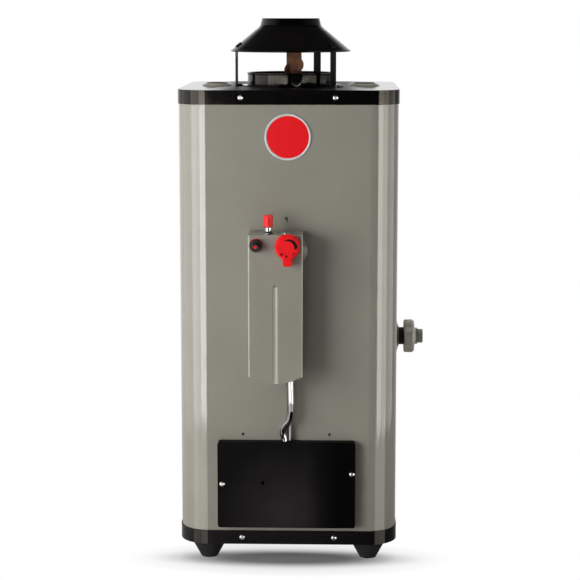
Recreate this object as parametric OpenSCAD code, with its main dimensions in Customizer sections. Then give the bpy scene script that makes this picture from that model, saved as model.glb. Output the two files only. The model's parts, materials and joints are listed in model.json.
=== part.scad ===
// Floor-standing flow-through gas water heater: a square sheet-metal jacket on four
// feet, an annular water vessel with heat tubes across its flue, a burner, a gas
// control under a folded cover, and a flue collar with a rain cap.
// Millimetres, +Z up, front towards -Y. Heights are above the floor.

/* [Casing] */
// Width and depth of the square jacket
jacket_w = 320; // [316:1:330]
// Outer radius of the jacket's upright corners
jacket_corner = 41; // [34:1:46]
// Thickness of the jacket sheet
sheet_t = 1; // [0.8:0.1:1.2]
// Height of the top cover's flat above the floor
body_h = 700; // [692:1:716]
// Height of the black skirts of cover and tray
skirt_h = 20.8; // [18:0.2:22]
// Thickness of the cover and tray sheet
skirt_t = 1.2; // [1:0.1:1.4]
// Distance of the skirt screws from the middle
skirt_screw_x = 68; // [60:1:80]

/* [Feet] */
// Height of the feet
foot_h = 29; // [27:0.5:29.5]
// Radius of a foot at the floor
foot_r = 12.5; // [12:0.5:14]
// Radius of a foot under the tray
foot_top_r = 26.5; // [24:0.5:28]
// Distance of the feet from the middle, left and right
foot_x = 119; // [110:1:120]
// Distance of the feet from the middle, front and back
foot_y = 124; // [118:1:128]

/* [Access panel] */
// Width of the panel
panel_w = 202; // [195:1:210]
// Lower edge of the panel
panel_z0 = 58.3; // [57:0.1:60]
// Upper edge of the panel
panel_z1 = 187.4; // [186:0.1:189]
// Middle of the panel
panel_x = -2; // [-4:1:0]
// Thickness of the panel
panel_t = 1.2; // [1:0.1:1.6]
// How far the panel stands out over the tubes
panel_depth = 14.4; // [14.2:0.1:15]

/* [Flue] */
// Radius of the collar
collar_r = 65.5; // [65:0.5:67]
// Height of the collar
collar_h = 20; // [18:1:24]
// Radius of the rain cap's rim
cap_r = 91; // [90:0.5:93]
// Height of the rain cap's rim
cap_rim_z = 752; // [748:1:758]
// Height of the whole heater
total_h = 801.5; // [800:0.5:808]
// Width of a cap strap
strap_w = 12; // [10:0.5:13]

/* [Control] */
// Width of the control cover
cover_w = 78; // [77:0.5:79]
// Depth of the control cover in front of the jacket
cover_d = 52; // [51:0.5:54]
// Middle of the control cover
cover_x = -16.5; // [-17:0.5:-16]
// Top of the control cover
cover_top = 498; // [497:0.5:499]
// Lowest point of the control cover's curved edge
cover_low = 283; // [278:1:286]
// Radius of the dial
knob_r = 18; // [16:0.5:18.5]
// Travel of the pilot button
pilot_travel = 5.5; // [3:0.5:5.5]
// Travel of the igniter button
igniter_travel = 6; // [3:0.5:6]

/* [Water] */
// Outer radius of the water vessel
vessel_r = 138; // [136:0.5:138]
// Outer radius of the flue tube through the vessel
flue_r = 62; // [60:0.5:62]
// Number of heat tubes across the flue
heat_tube_count = 6; // [3:1:6]
// Distance of the water couplings from the middle
coupling_x = 112; // [110:1:116]
// Height of the drain
drain_z = 313; // [306:1:320]

/* [Hidden] */
$fn = 64;

// Colours
paint_grey = [0.52, 0.51, 0.46];
gloss_black = [0.06, 0.06, 0.06];
dial_red = [0.90, 0.10, 0.12];
zinc = [0.75, 0.75, 0.76];
steel_dark = [0.30, 0.30, 0.31];
steel_plain = [0.55, 0.55, 0.56];
brass = [0.78, 0.62, 0.30];
bright_aluminium = [0.86, 0.86, 0.87];
rust = [0.33, 0.20, 0.13];
wool_yellow = [0.80, 0.70, 0.40];
ceramic_white = [0.90, 0.88, 0.84];
pipe_white = [0.82, 0.82, 0.78];

// Casing, worked out from the driving sizes
half_w = jacket_w / 2;
skirt_gap = 0.1;
skirt_w = jacket_w + 2 * (skirt_t + skirt_gap);
skirt_corner = jacket_corner + skirt_t + skirt_gap;
tray_top = foot_h + skirt_t;
jacket_z0 = tray_top + 0.2;
jacket_z1 = body_h - skirt_t - 0.2;
cut = 1;
seam_w = 14;
seam_t = 1;
// Small round holes in the jacket's front: place and radius
vent_holes = [[-66, 196, 2.1], [61, 196, 2.1], [-2, 515.8, 2], [-0.8, 511.9, 1.1]];

// Fasteners
screw_r = 1.6;
screw_len = 7;
screw_head_r = 4;
screw_head_h = 2.4;
hole_r = screw_r + 0.1;
skirt_screw_top = body_h - skirt_h / 2;
skirt_screw_low = foot_h + skirt_h / 2;
panel_screws = [[-96, 124], [94, 140]];
sight_hole = [-37, 126];
sight_r = 2.8;
bolt_r = 3;
bolt_head_r = 6.5;
bolt_recess_r = 8;
bolt_recess_h = 5;
nut_h = 5;

// Burner opening, and the slot in the panel's upper edge where the gas tubes go in
panel_corner = 4;
panel_boss_r = 4;
panel_slot = [-10.5, 8];
panel_screw_len = panel_depth + 5;
open_w = 170;
open_z0 = 66;
open_z1 = 178;

// Badge
badge_r = 33.4;
badge_z = 633;

// Flue
collar_t = 1.2;
collar_flange_r = collar_r + 9;
collar_z1 = body_h + collar_h;
collar_hole_x = 10;
collar_hole_r = 7.5;
flue_hole_r = flue_r + 1;
cap_t = 1.2;
cap_cone = [cap_r, cap_rim_z + cap_t];
cap_neck = [54.5, cap_rim_z + 31.3];
cap_bend = [47.2, cap_rim_z + 36.6];
cap_crown = [46, total_h - 10];
cap_top_r = 43.5;
cap_bend_steps = 6;
cap_slope = (cap_neck[1] - cap_cone[1]) / (cap_cone[0] - cap_neck[0]);
cap_tilt = atan(cap_slope);
strap_t = 1.5;
strap_r = 85;
strap_feet = [-8.3, 14, 14];
strap_tab = 8;
strap_neck_w = strap_w - 3;
strap_play = 0.4;
strap_screw_rs = [strap_r - 5.7, strap_r + 7.5, strap_r + 7.5];
strap_angles = [196, 320, 62];
baffle_x = 5;
baffle_w = 23;
baffle_t = 1.2;
baffle_z0 = 566;
baffle_fin_r = 10.3;
baffle_fins = [for (i = [0 : 2]) total_h - 74 - 60 * i];

// Water vessel, held up by the combustion chamber
vessel_t = 2.5;
vessel_z0 = 281;
vessel_z1 = 646;
head_t = 3;
chamber_z0 = tray_top;
chamber_open = [-88, 84, 54, 206];
flue_t = 2.5;
flue_top = body_h + 7;
heat_tube_r = 12;
heat_tube_t = 2;
heat_tube_z0 = 318;
heat_tube_step = 42;
heat_tube_turn = 60;
heat_tube_first = 20;
coupling_r = 15.5;
coupling_bore = 12.2;
coupling_depth = 22;
coupling_seat_r = 11.5;
coupling_step = 10.4;
coupling_z0 = 634;
coupling_z1 = body_h + 4.6;
dip_flange_h = 2;
dip_r = 10.2;
dip_bore = 8.5;
dip_z0 = 306;
wool_gap = 1.5;
wool_cut = 14;

// Rosettes round the pipes: radius, height, and height of the outer step
rosette_r = 25;
rosette_h = 6.5;
rosette_rise = 1.8;
top_rosette = [23, 3.6, 1.2];
drain_rosette = [26, 7.4, 4.2];

// Drain, along +X
nipple_r = 13.35;
nipple_x = half_w + 15;
drain_tail_r = 10.85;
drain_tail_x = half_w + 44.4;
spigot_r = 10.6;
spigot_len = 7;
drain_bore = 7;
wheel_x0 = nipple_x + 0.3;
wheel_x1 = nipple_x + 19.5;
wheel_r = 25.5;
wheel_bore = drain_tail_r + 0.08;
wheel_lobes = 4;
wheel_turn = 45;
wheel_dip = 2.6;
clip_r = 12.6;

// Control cover
cover_t = 1;
cover_bend = 2;
cover_side_low = cover_low + 11;
cover_y = -half_w - cover_d;
cover_inner_y = cover_y + cover_t;
bead_half = 4;
bead_depth = 2.5;
bead_top = 422;
bead_r = (bead_half * bead_half + bead_depth * bead_depth) / (2 * bead_depth);
bead_y = cover_y - bead_r + bead_depth;
cover_top_holes = [[-44, -half_w - 15], [-13, -half_w - 15]];
cover_top_hole_r = 3.5;
cover_screw = [-2, -half_w - 32];
cover_hole = [-12.5, -half_w - 21];
cover_hole_r = 3.6;

// Thermostat under the cover
stat_x0 = -34;
stat_x1 = 19;
stat_y0 = cover_y + 6;
stat_y1 = -half_w - 12;
stat_z0 = 358;
stat_z1 = cover_top - 5;
stat_corner = 4;
shank_x = 3.6;
shank_z = 469;
shank_r = 12;
shank_hex_r = 17;
rod_r = 5;
rod_end = -flue_r - 10;
gas_x = -22;
gas_y = -half_w - 26;
gas_r = 7.9;
gas_bore = 4.6;
gas_hex_r = 11;
gas_hex_h = 8;
gas_len = 22;

// Dial
knob_x = 1;
knob_z = 482.5;
knob_face_r = 15.4;
knob_front = 18;
knob_tab_w = 14;
knob_tab_low = 27.2;
spindle_r = 4;
spindle_bore = spindle_r + 0.06;
knob_hole_r = 9;

// Pilot button, along Z
pilot_x = -27;
pilot_y = -half_w - 38;
pilot_cap_r = 7.05;
pilot_cap_z0 = cover_top + 4.8 + pilot_travel;
pilot_cap_z1 = cover_top + 27;
pilot_neck_r = 5.5;
pilot_flange_r = 7.25;
pilot_hole_r = pilot_neck_r + 0.1;
stem_r = 2.98;
stem_bore = stem_r + 0.08;
pilot_well_r = 4.3;
pilot_well_z = cover_top - 37;
stem_flange_z = cover_top - 19;
spring_r = 3.2;
spring_wire = 0.5;
spring_turns = 5;
pilot_flutes = 12;

// Igniter, along Y
igniter_x = -44;
igniter_z = 483.5;
igniter_thread_r = 6.95;
igniter_hole_r = igniter_thread_r + 0.15;
igniter_nut_r = 9.2;
igniter_nut_h = 10;
igniter_washer_r = 9.7;
igniter_washer_t = 0.8;
igniter_flange_r = 9;
plunger_r = 5.2;
plunger_bore = plunger_r + 0.08;
plunger_front = 14 + igniter_travel;

// Burner
venturi_z = 81;
venturi_r = 13;
venturi_t = 1.5;
venturi_y0 = -105;
venturi_mouth_r = 17;
bowl_z = 106;
bowl_r = 70;
port_r = 1.6;
jet_y = -116;
bracket_x = [-48, 6];
bracket_y = [-84, -66.5];
pilot_spots = [[-14, -76], [-26, -76], [-39, -76]];

// Tubes and leads
burner_tube_r = 4.5;
pilot_tube_r = 2;
lead_r = 1.2;
burner_nut = [8, 14];
pilot_nut = [6, 12];
route_steps = 2;
burner_route = [
    [3, -181, 352], [4, -181, 306], [4.5, -181, 268], [4.8, -181, 246], [4.4, -180, 232], [1.8, -177.5, 221],
    [-3.5, -173.5, 213.5], [-7, -170.5, 206.5], [-7, -169, 199], [-5, -168.2, 192], [-4.2, -168, 185],
    [-4.2, -167.8, 177], [-3.8, -165.5, 167], [-2.5, -157, 155], [-1, -147, 144], [0, -140, 126],
    [0, -136, 103], [0, -127, 85], [0, -116, 81]
];
pilot_route = [
    [10, -194, 352], [11.5, -193, 331], [12, -188, 314], [11.6, -179, 300], [8.6, -173, 288],
    [4.5, -171, 274], [3.2, -171, 261], [3.2, -171, 241], [3.2, -170, 224], [3.2, -168.6, 211],
    [3.2, -168, 199], [3.2, -167.6, 186], [3.2, -167.2, 177], [3.2, -163.5, 170.5], [3, -157, 166],
    [1, -147, 161], [-4, -136, 153], [-10, -124, 140], [-17, -110, 118], [-23, -95, 98],
    [-26, -83, 87], [-26, -77, 89], [-26, -76, 100]
];
thermocouple_route = [
    [-9, -177, 358], [-8, -174, 336], [-2, -168, 306], [3.5, -165, 278], [4, -164.5, 246],
    [3.8, -163.5, 224], [3.2, -162.4, 211], [3.2, -161.8, 198], [3.4, -161.6, 187], [5, -161.6, 179],
    [8.5, -160.3, 173], [11, -154, 168], [11, -144, 160], [9, -130, 146], [1, -112, 124],
    [-8, -95, 104], [-12, -84, 96], [-14, -78, 96], [-14, -76, 103], [-14, -76, 128]
];
ignition_route = [
    [-44, -172, 483.5], [-44, -168, 482.5], [-46, -166, 466], [-46, -166, 406], [-44, -166, 346],
    [-30, -166, 311], [-8, -165, 291], [-1, -164.5, 271], [0, -164.5, 246], [-0.5, -164, 228],
    [-2.5, -163, 216], [-4, -162, 206], [-4.2, -161.6, 196], [-4.4, -161.6, 187], [-6, -161.6, 180],
    [-9, -160.3, 174.5], [-12, -153, 169], [-14, -143, 162], [-16, -130, 152], [-22, -114, 134],
    [-30, -99, 114], [-37, -87, 98], [-39, -79, 94], [-39, -76, 101]
];

// The origin is under the middle of the whole outline, drain, igniter and rear screws included
body_x = -(drain_tail_x - skirt_w / 2) / 2;
body_y = -(skirt_w / 2 + screw_head_h + cover_y - plunger_front) / 2;

// Shared shapes

module at_body() {
    translate([body_x, body_y, 0]) children();
}

module rounded_rect(w, h, r) {
    square([w - 2 * r, h], center = true);
    square([w, h - 2 * r], center = true);
    for (sx = [-1, 1], sy = [-1, 1])
        translate([sx * (w / 2 - r), sy * (h / 2 - r)]) circle(r = r);
}

module rounded_ring(w, r, t) {
    difference() {
        rounded_rect(w, w, r);
        rounded_rect(w - 2 * t, w - 2 * t, r - t);
    }
}

module along_x(y, z, x0, x1, r) {
    translate([x0, y, z]) rotate([0, 90, 0]) cylinder(h = x1 - x0, r = r);
}

module along_y(x, z, y0, y1, r) {
    translate([x, y0, z]) rotate([-90, 0, 0]) cylinder(h = y1 - y0, r = r);
}

module along_z(x, y, z0, z1, r) {
    translate([x, y, z0]) cylinder(h = z1 - z0, r = r);
}

module box(x0, x1, y0, y1, z0, z1) {
    translate([x0, y0, z0]) cube([x1 - x0, y1 - y0, z1 - z0]);
}

// Faces the front: local X right, local Y up, local Z out of the front
module facing_front(x, y, z) {
    translate([x, y, z]) rotate([90, 0, 0]) children();
}

module facing_back(x, y, z) {
    translate([x, y, z]) rotate([90, 0, 180]) children();
}

module facing_right(x, y, z) {
    translate([x, y, z]) rotate([0, 90, 0]) children();
}

// Pan-head screw with a cross recess, head upwards from local zero
module pan_screw(length = screw_len) {
    recess_w = 0.9;
    recess_len = 4.4;
    recess_depth = 1;
    difference() {
        union() {
            rotate_extrude()
                polygon([[0, 0], [screw_head_r, 0], [screw_head_r, 0.9], [3.3, 1.9], [2, screw_head_h],
                         [0, screw_head_h]]);
            translate([0, 0, -length]) cylinder(h = length, r = screw_r);
        }
        for (a = [0, 90])
            rotate([0, 0, a])
                translate([-recess_len / 2, -recess_w / 2, screw_head_h - recess_depth])
                    cube([recess_len, recess_w, recess_depth + cut]);
    }
}

// Sweep of a round section along points, with frames carried from ring to ring
function unit(v) = v / norm(v);
function heading(p, i) = unit(p[min(i + 1, len(p) - 1)] - p[max(i - 1, 0)]);
function across(v, t) = unit(v - (v * t) * t);
function carried(p, i, v) =
    i == len(p) ? [] : let (u = across(v, heading(p, i))) concat([u], carried(p, i + 1, u));
function blend_point(a, b, c, d, t) =
    0.5 * (2 * b + (c - a) * t + (2 * a - 5 * b + 4 * c - d) * t * t
           + (3 * b - a - 3 * c + d) * t * t * t);
function eased(p, steps) =
    let (n = len(p))
    concat(
        [for (i = [0 : n - 2], s = [0 : steps - 1])
            blend_point(p[max(i - 1, 0)], p[i], p[i + 1], p[min(i + 2, n - 1)], s / steps)],
        [p[n - 1]]);

module swept_tube(path, r, sides) {
    first = abs(heading(path, 0)[0]) < 0.9 ? [1, 0, 0] : [0, 1, 0];
    frames = carried(path, 0, first);
    rings = len(path);
    points = [
        for (i = [0 : rings - 1], k = [0 : sides - 1])
            let (a = 360 * k / sides, t = heading(path, i), u = frames[i])
            path[i] + r * (cos(a) * u + sin(a) * cross(t, u))
    ];
    walls = [
        for (i = [0 : rings - 2], k = [0 : sides - 1], half = [0, 1])
            let (next = (k + 1) % sides, a = i * sides + k, b = i * sides + next,
                 c = a + sides, d = b + sides)
            half == 0 ? [a, c, d] : [a, d, b]
    ];
    near_end = [for (k = [1 : sides - 2]) [0, k, k + 1]];
    last = (rings - 1) * sides;
    far_end = [for (k = [1 : sides - 2]) [last, last + k + 1, last + k]];
    polyhedron(points = points, faces = concat(walls, near_end, far_end));
}

// Casing

module skirt_screw_places() {
    for (z = [skirt_screw_low, skirt_screw_top], x = [-skirt_screw_x, skirt_screw_x]) {
        facing_front(x, -skirt_w / 2, z) children();
        facing_back(x, skirt_w / 2, z) children();
    }
}

module skirt_screw_holes() {
    skirt_screw_places() translate([0, 0, -screw_len]) cylinder(h = screw_len + cut, r = hole_r);
}

module jacket() {
    color(paint_grey) at_body() difference() {
        union() {
            translate([0, 0, jacket_z0])
                linear_extrude(jacket_z1 - jacket_z0) rounded_ring(jacket_w, jacket_corner, sheet_t);
            box(-seam_w / 2, seam_w / 2, half_w - sheet_t, half_w + seam_t,
                foot_h + skirt_h + 2, body_h - skirt_h - 2);
        }
        box(panel_x - open_w / 2, panel_x + open_w / 2, -half_w - cut, -half_w + sheet_t + cut,
            open_z0, open_z1);
        along_y(shank_x, shank_z, -half_w - cut, -half_w + sheet_t + cut, shank_r + 2);
        along_x(0, drain_z, half_w - sheet_t - cut, half_w + cut, nipple_r + 1.5);
        for (p = vent_holes)
            along_y(p[0], p[1], -half_w - cut, -half_w + sheet_t + cut, p[2]);
        for (p = panel_screws)
            along_y(p[0], p[1], -half_w - cut, -half_w + sheet_t + cut, hole_r);
        skirt_screw_holes();
    }
}

module top_cover() {
    color(gloss_black) at_body() difference() {
        union() {
            translate([0, 0, body_h - skirt_t])
                linear_extrude(skirt_t) rounded_rect(skirt_w, skirt_w, skirt_corner);
            translate([0, 0, body_h - skirt_h])
                linear_extrude(skirt_h - skirt_t) rounded_ring(skirt_w, skirt_corner, skirt_t);
        }
        along_z(0, 0, body_h - skirt_t - cut, body_h + cut, flue_hole_r);
        for (s = [-1, 1])
            along_z(s * coupling_x, 0, body_h - skirt_t - cut, body_h + cut, coupling_r + 1);
        for (i = [0 : len(strap_angles) - 1])
            rotate([0, 0, strap_angles[i]])
                along_z(strap_screw_rs[i], 0, body_h - skirt_t - cut, body_h + cut, hole_r);
        skirt_screw_holes();
    }
}

module base_tray() {
    air_hole_r = 13;
    air_ring_r = 92;
    air_holes = 10;
    color(gloss_black) at_body() difference() {
        union() {
            translate([0, 0, foot_h])
                linear_extrude(skirt_t) rounded_rect(skirt_w, skirt_w, skirt_corner);
            translate([0, 0, tray_top])
                linear_extrude(skirt_h - skirt_t) rounded_ring(skirt_w, skirt_corner, skirt_t);
        }
        for (i = [0 : air_holes - 1])
            rotate([0, 0, (i + 0.5) * 360 / air_holes])
                along_z(air_ring_r, 0, foot_h - cut, tray_top + cut, air_hole_r);
        for (sx = [-1, 1], sy = [-1, 1])
            along_z(sx * foot_x, sy * foot_y, foot_h - cut, tray_top + cut, bolt_r + 0.3);
        skirt_screw_holes();
    }
}

module foot(sx, sy) {
    wall = 2.5;
    lip_h = 3;
    floor_z = bolt_recess_h + wall;
    color(gloss_black) at_body() translate([sx * foot_x, sy * foot_y, 0])
        rotate_extrude()
            polygon([
                [bolt_recess_r, 0], [foot_r, 0], [foot_top_r, foot_h - lip_h], [foot_top_r, foot_h],
                [foot_top_r - wall, foot_h], [foot_top_r - wall, foot_h - lip_h],
                [foot_r, floor_z], [bolt_r + 0.3, floor_z], [bolt_r + 0.3, bolt_recess_h],
                [bolt_recess_r, bolt_recess_h]
            ]);
}

module foot_bolts() {
    head_h = 4;
    color(zinc) at_body()
        for (sx = [-1, 1], sy = [-1, 1])
            translate([sx * foot_x, sy * foot_y, 0]) {
                translate([0, 0, bolt_recess_h - head_h]) cylinder(h = head_h, r = bolt_head_r, $fn = 6);
                translate([0, 0, bolt_recess_h - 0.5]) cylinder(h = tray_top + 3, r = bolt_r);
                translate([0, 0, tray_top]) cylinder(h = nut_h, r = bolt_head_r, $fn = 6);
            }
}

module access_panel() {
    middle = (panel_z0 + panel_z1) / 2;
    high = panel_z1 - panel_z0;
    front = -half_w - panel_depth;
    color(gloss_black) at_body() difference() {
        union() {
            difference() {
                facing_front(panel_x, -half_w, middle)
                    linear_extrude(panel_depth) rounded_rect(panel_w, high, panel_corner);
                facing_front(panel_x, -half_w + cut, middle)
                    linear_extrude(panel_depth - panel_t + cut)
                        rounded_rect(panel_w - 2 * panel_t, high - 2 * panel_t, panel_corner - panel_t);
            }
            for (p = panel_screws)
                along_y(p[0], p[1], front + panel_t / 2, -half_w, panel_boss_r);
        }
        box(panel_slot[0], panel_slot[1], front + panel_t, -half_w + cut,
            panel_z1 - 2 * panel_t, panel_z1 + cut);
        for (p = panel_screws)
            along_y(p[0], p[1], front - cut, -half_w + cut, hole_r);
        along_y(sight_hole[0], sight_hole[1], front - cut, -half_w + cut, sight_r);
    }
}

module casing_screws() {
    color(zinc) at_body() {
        skirt_screw_places() pan_screw();
        for (p = panel_screws)
            facing_front(p[0], -half_w - panel_depth, p[1]) pan_screw(panel_screw_len);
        translate([cover_screw[0], cover_screw[1], cover_top]) pan_screw();
    }
}

module badge() {
    color(dial_red) at_body() facing_front(0, -half_w, badge_z)
        rotate_extrude()
            polygon([[0, 0], [badge_r, 0], [badge_r, 1.3], [badge_r - 0.9, 2], [badge_r - 2, 2],
                     [badge_r - 2.8, 1.2], [0, 1.2]]);
}

module rosette_shape(hole, r, h, rise) {
    wall = 1;
    foot_in = 1.4;
    shoulder = hole + 1.6;
    rotate_extrude()
        polygon([
            [r, 0], [r - 0.7, rise], [shoulder + 2, h - 1.2], [shoulder, h], [hole, h], [hole, h - wall],
            [shoulder - 0.3, h - wall], [shoulder + 1.4, h - wall - 1.2], [r - foot_in, rise - wall + 0.2],
            [r - foot_in, 0]
        ]);
}

module rosette_thermostat() {
    color(paint_grey) at_body() facing_front(shank_x, -half_w, shank_z)
        rosette_shape(shank_r + 1, rosette_r, rosette_h, rosette_rise);
}

module rosette_drain() {
    color(paint_grey) at_body() facing_right(half_w, 0, drain_z)
        rosette_shape(nipple_r + 0.4, drain_rosette[0], drain_rosette[1], drain_rosette[2]);
}

module rosette_on_top(s) {
    color(paint_grey) at_body() translate([s * coupling_x, 0, body_h])
        rosette_shape(coupling_r + 0.3, top_rosette[0], top_rosette[1], top_rosette[2]);
}

module rosette_hot() { rosette_on_top(-1); }
module rosette_cold() { rosette_on_top(1); }

// Flue collar and rain cap

module flue_collar() {
    bead = 1.4;
    lip = 0.9;
    lip_y = -collar_r - 1;
    color(gloss_black) at_body() difference() {
        union() {
            rotate_extrude() {
                translate([collar_r - collar_t, body_h]) square([collar_t, collar_h]);
                translate([collar_r - collar_t, body_h])
                    square([collar_flange_r - collar_r + collar_t, collar_t]);
                translate([collar_r - collar_t / 2, collar_z1 - bead]) circle(r = bead);
                translate([collar_r, body_h + 2.2]) circle(r = 1);
            }
            along_y(collar_hole_x, body_h + collar_h / 2 - 1, lip_y, lip_y + 4, collar_hole_r + lip);
        }
        along_y(collar_hole_x, body_h + collar_h / 2 - 1, lip_y - cut, lip_y + 6, collar_hole_r);
        along_z(0, 0, body_h - cut, collar_z1 - 2 * bead, collar_r - collar_t);
    }
}

function cone_z(r) = cap_cone[1] + (cap_cone[0] - r) * cap_slope;
function bend_point(t) =
    (1 - t) * (1 - t) * cap_neck + 2 * t * (1 - t) * cap_bend + t * t * cap_crown;

module rain_cap() {
    hem = 1.3;
    outer = concat(
        [cap_cone],
        [for (i = [0 : cap_bend_steps]) bend_point(i / cap_bend_steps)],
        [[cap_top_r, total_h], [0, total_h]]);
    count = len(outer);
    shift = cap_t * [-sin(cap_tilt), -cos(cap_tilt)];
    inner = [for (i = [count - 1 : -1 : 0]) [max(0, outer[i][0] + shift[0]), outer[i][1] + shift[1]]];
    color(gloss_black) at_body() difference() {
        rotate_extrude() {
            polygon(concat(outer, inner));
            translate([cap_r - 1.1, cap_rim_z + 0.9]) circle(r = hem);
        }
        for (a = strap_angles)
            rotate([0, 0, a])
                box(strap_r - strap_t - strap_play, strap_r + strap_play,
                    -strap_neck_w / 2 - strap_play, strap_neck_w / 2 + strap_play,
                    cap_rim_z + cap_t, cone_z(strap_r) + 4);
    }
}

// Strap with a foot on the cover, shoulders under the cap and a tab folded over its cone
module cap_strap(i) {
    lift = 0.1;
    shoulder_z = cone_z(strap_r) - cap_t / cos(cap_tilt) - 0.2;
    inner_r = strap_r - strap_t;
    foot_end = strap_feet[i] > 0 ? strap_r + strap_feet[i] : inner_r + strap_feet[i];
    slope = [-cos(cap_tilt), sin(cap_tilt)];
    normal = [sin(cap_tilt), cos(cap_tilt)];
    under = [inner_r, cone_z(inner_r) + lift];
    over = [strap_r, cone_z(strap_r) + lift + strap_t / cos(cap_tilt)];
    color(gloss_black) at_body() rotate([0, 0, strap_angles[i]]) difference() {
        rotate([90, 0, 0]) {
            linear_extrude(strap_w, center = true) {
                translate([inner_r, body_h]) square([strap_t, shoulder_z - body_h]);
                translate([min(inner_r, foot_end), body_h])
                    square([max(strap_r, foot_end) - min(inner_r, foot_end), strap_t]);
            }
            linear_extrude(strap_neck_w, center = true)
                polygon([
                    [inner_r, shoulder_z - cut], [strap_r, shoulder_z - cut], over,
                    under + strap_tab * slope + strap_t * normal, under + strap_tab * slope, under
                ]);
        }
        along_z(strap_screw_rs[i], 0, body_h - cut, body_h + strap_t + cut, hole_r);
    }
}

module cap_strap_left() { cap_strap(0); }
module cap_strap_front() { cap_strap(1); }
module cap_strap_rear() { cap_strap(2); }

module strap_screws() {
    color(zinc) at_body()
        for (i = [0 : len(strap_angles) - 1])
            rotate([0, 0, strap_angles[i]])
                translate([strap_screw_rs[i], 0, body_h + strap_t]) pan_screw();
}

// Strip with round ears bent out of its plane, hung from the cap's crown
module flue_baffle() {
    hang_z = total_h - cap_t * cos(cap_tilt) - 0.05;
    tab_d = 14;
    ear_turn = 35;
    color(rust) at_body() {
        box(baffle_x - baffle_w / 2, baffle_x + baffle_w / 2, -baffle_t / 2, baffle_t / 2,
            baffle_z0, hang_z);
        box(baffle_x - baffle_w / 2, baffle_x + baffle_w / 2, -baffle_t / 2, tab_d,
            hang_z - baffle_t, hang_z);
        for (z = baffle_fins, s = [-1, 1])
            translate([baffle_x + s * 6, 0, z + s * 4])
                rotate([90, 0, -s * ear_turn])
                    cylinder(h = baffle_t, r = baffle_fin_r, center = true);
    }
}

// Water vessel and combustion chamber

module vessel_shell() {
    color(steel_plain) at_body() difference() {
        along_z(0, 0, vessel_z0, vessel_z1, vessel_r);
        along_z(0, 0, vessel_z0 - cut, vessel_z1 + cut, vessel_r - vessel_t);
        along_y(shank_x, shank_z, -vessel_r - cut, -vessel_r / 2, shank_r + 0.2);
        along_x(0, drain_z, vessel_r / 2, vessel_r + cut, nipple_r + 0.2);
    }
}

module vessel_head(z) {
    difference() {
        along_z(0, 0, z, z + head_t, vessel_r);
        along_z(0, 0, z - cut, z + head_t + cut, flue_r + 0.1);
    }
}

module vessel_top() {
    color(steel_plain) at_body() difference() {
        vessel_head(vessel_z1);
        for (s = [-1, 1])
            along_z(s * coupling_x, 0, vessel_z1 - cut, vessel_z1 + head_t + cut, coupling_r + 0.1);
    }
}

module vessel_bottom() {
    color(steel_plain) at_body() vessel_head(vessel_z0 - head_t);
}

module heat_tube_places() {
    for (i = [0 : heat_tube_count - 1])
        rotate([0, 0, heat_tube_first + i * heat_tube_turn])
            translate([0, 0, heat_tube_z0 + i * heat_tube_step])
                rotate([0, 90, 0])
                    children();
}

module flue_tube() {
    color(steel_dark) at_body() difference() {
        along_z(0, 0, vessel_z0 - head_t, flue_top, flue_r);
        along_z(0, 0, vessel_z0 - head_t - cut, flue_top + cut, flue_r - flue_t);
        heat_tube_places() cylinder(h = 3 * flue_r, r = heat_tube_r + 0.1, center = true);
    }
}

module heat_tubes() {
    color(steel_dark) at_body() heat_tube_places() difference() {
        cylinder(h = 2 * flue_r + 2, r = heat_tube_r, center = true);
        cylinder(h = 3 * flue_r, r = heat_tube_r - heat_tube_t, center = true);
    }
}

module combustion_chamber() {
    color(steel_dark) at_body() difference() {
        along_z(0, 0, chamber_z0, vessel_z0 - head_t, vessel_r);
        along_z(0, 0, chamber_z0 - cut, vessel_z0, vessel_r - vessel_t);
        box(chamber_open[0], chamber_open[1], -vessel_r - cut, -vessel_r / 2,
            chamber_open[2], chamber_open[3]);
    }
}

module insulation() {
    wool_w = jacket_w - 2 * (sheet_t + wool_gap);
    pocket = 8;
    color(wool_yellow) at_body() difference() {
        translate([0, 0, tray_top])
            linear_extrude(vessel_z1 - tray_top) rounded_rect(wool_w, wool_w, jacket_corner - 2);
        along_z(0, 0, tray_top - cut, vessel_z1 + cut, vessel_r + 1);
        box(chamber_open[0] - wool_cut, chamber_open[1] + wool_cut, -half_w, -vessel_r / 2,
            tray_top - cut, chamber_open[3] + 4);
        along_y(shank_x, shank_z, -half_w, -vessel_r / 2, shank_r + 2);
        along_x(0, drain_z, vessel_r / 2, half_w, nipple_r + 2);
        for (sx = [-1, 1], sy = [-1, 1])
            along_z(sx * foot_x, sy * foot_y, tray_top - cut, tray_top + 2 * nut_h, bolt_head_r + 2);
        for (s = [-1, 1], side = [-1, 1])
            along_y(s * skirt_screw_x, skirt_screw_low, side * half_w - pocket, side * half_w + pocket,
                    screw_r + 2);
    }
}

module coupling(s) {
    color(steel_dark) at_body() difference() {
        along_z(s * coupling_x, 0, coupling_z0, coupling_z1, coupling_r);
        along_z(s * coupling_x, 0, coupling_z0 - cut, coupling_z1 + cut, coupling_step);
        along_z(s * coupling_x, 0, coupling_z1 - coupling_depth, coupling_z1 + cut, coupling_bore);
        along_z(s * coupling_x, 0, coupling_z1 - coupling_depth - dip_flange_h, coupling_z1,
                coupling_seat_r);
    }
}

module cold_coupling() { coupling(1); }
module hot_coupling() { coupling(-1); }

module dip_tube() {
    seat = coupling_z1 - coupling_depth - dip_flange_h;
    color(pipe_white) at_body() difference() {
        union() {
            along_z(coupling_x, 0, dip_z0, seat, dip_r);
            along_z(coupling_x, 0, seat, seat + dip_flange_h, coupling_seat_r - 0.2);
        }
        along_z(coupling_x, 0, dip_z0 - cut, seat + dip_flange_h + cut, dip_bore);
    }
}

// Drain

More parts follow.
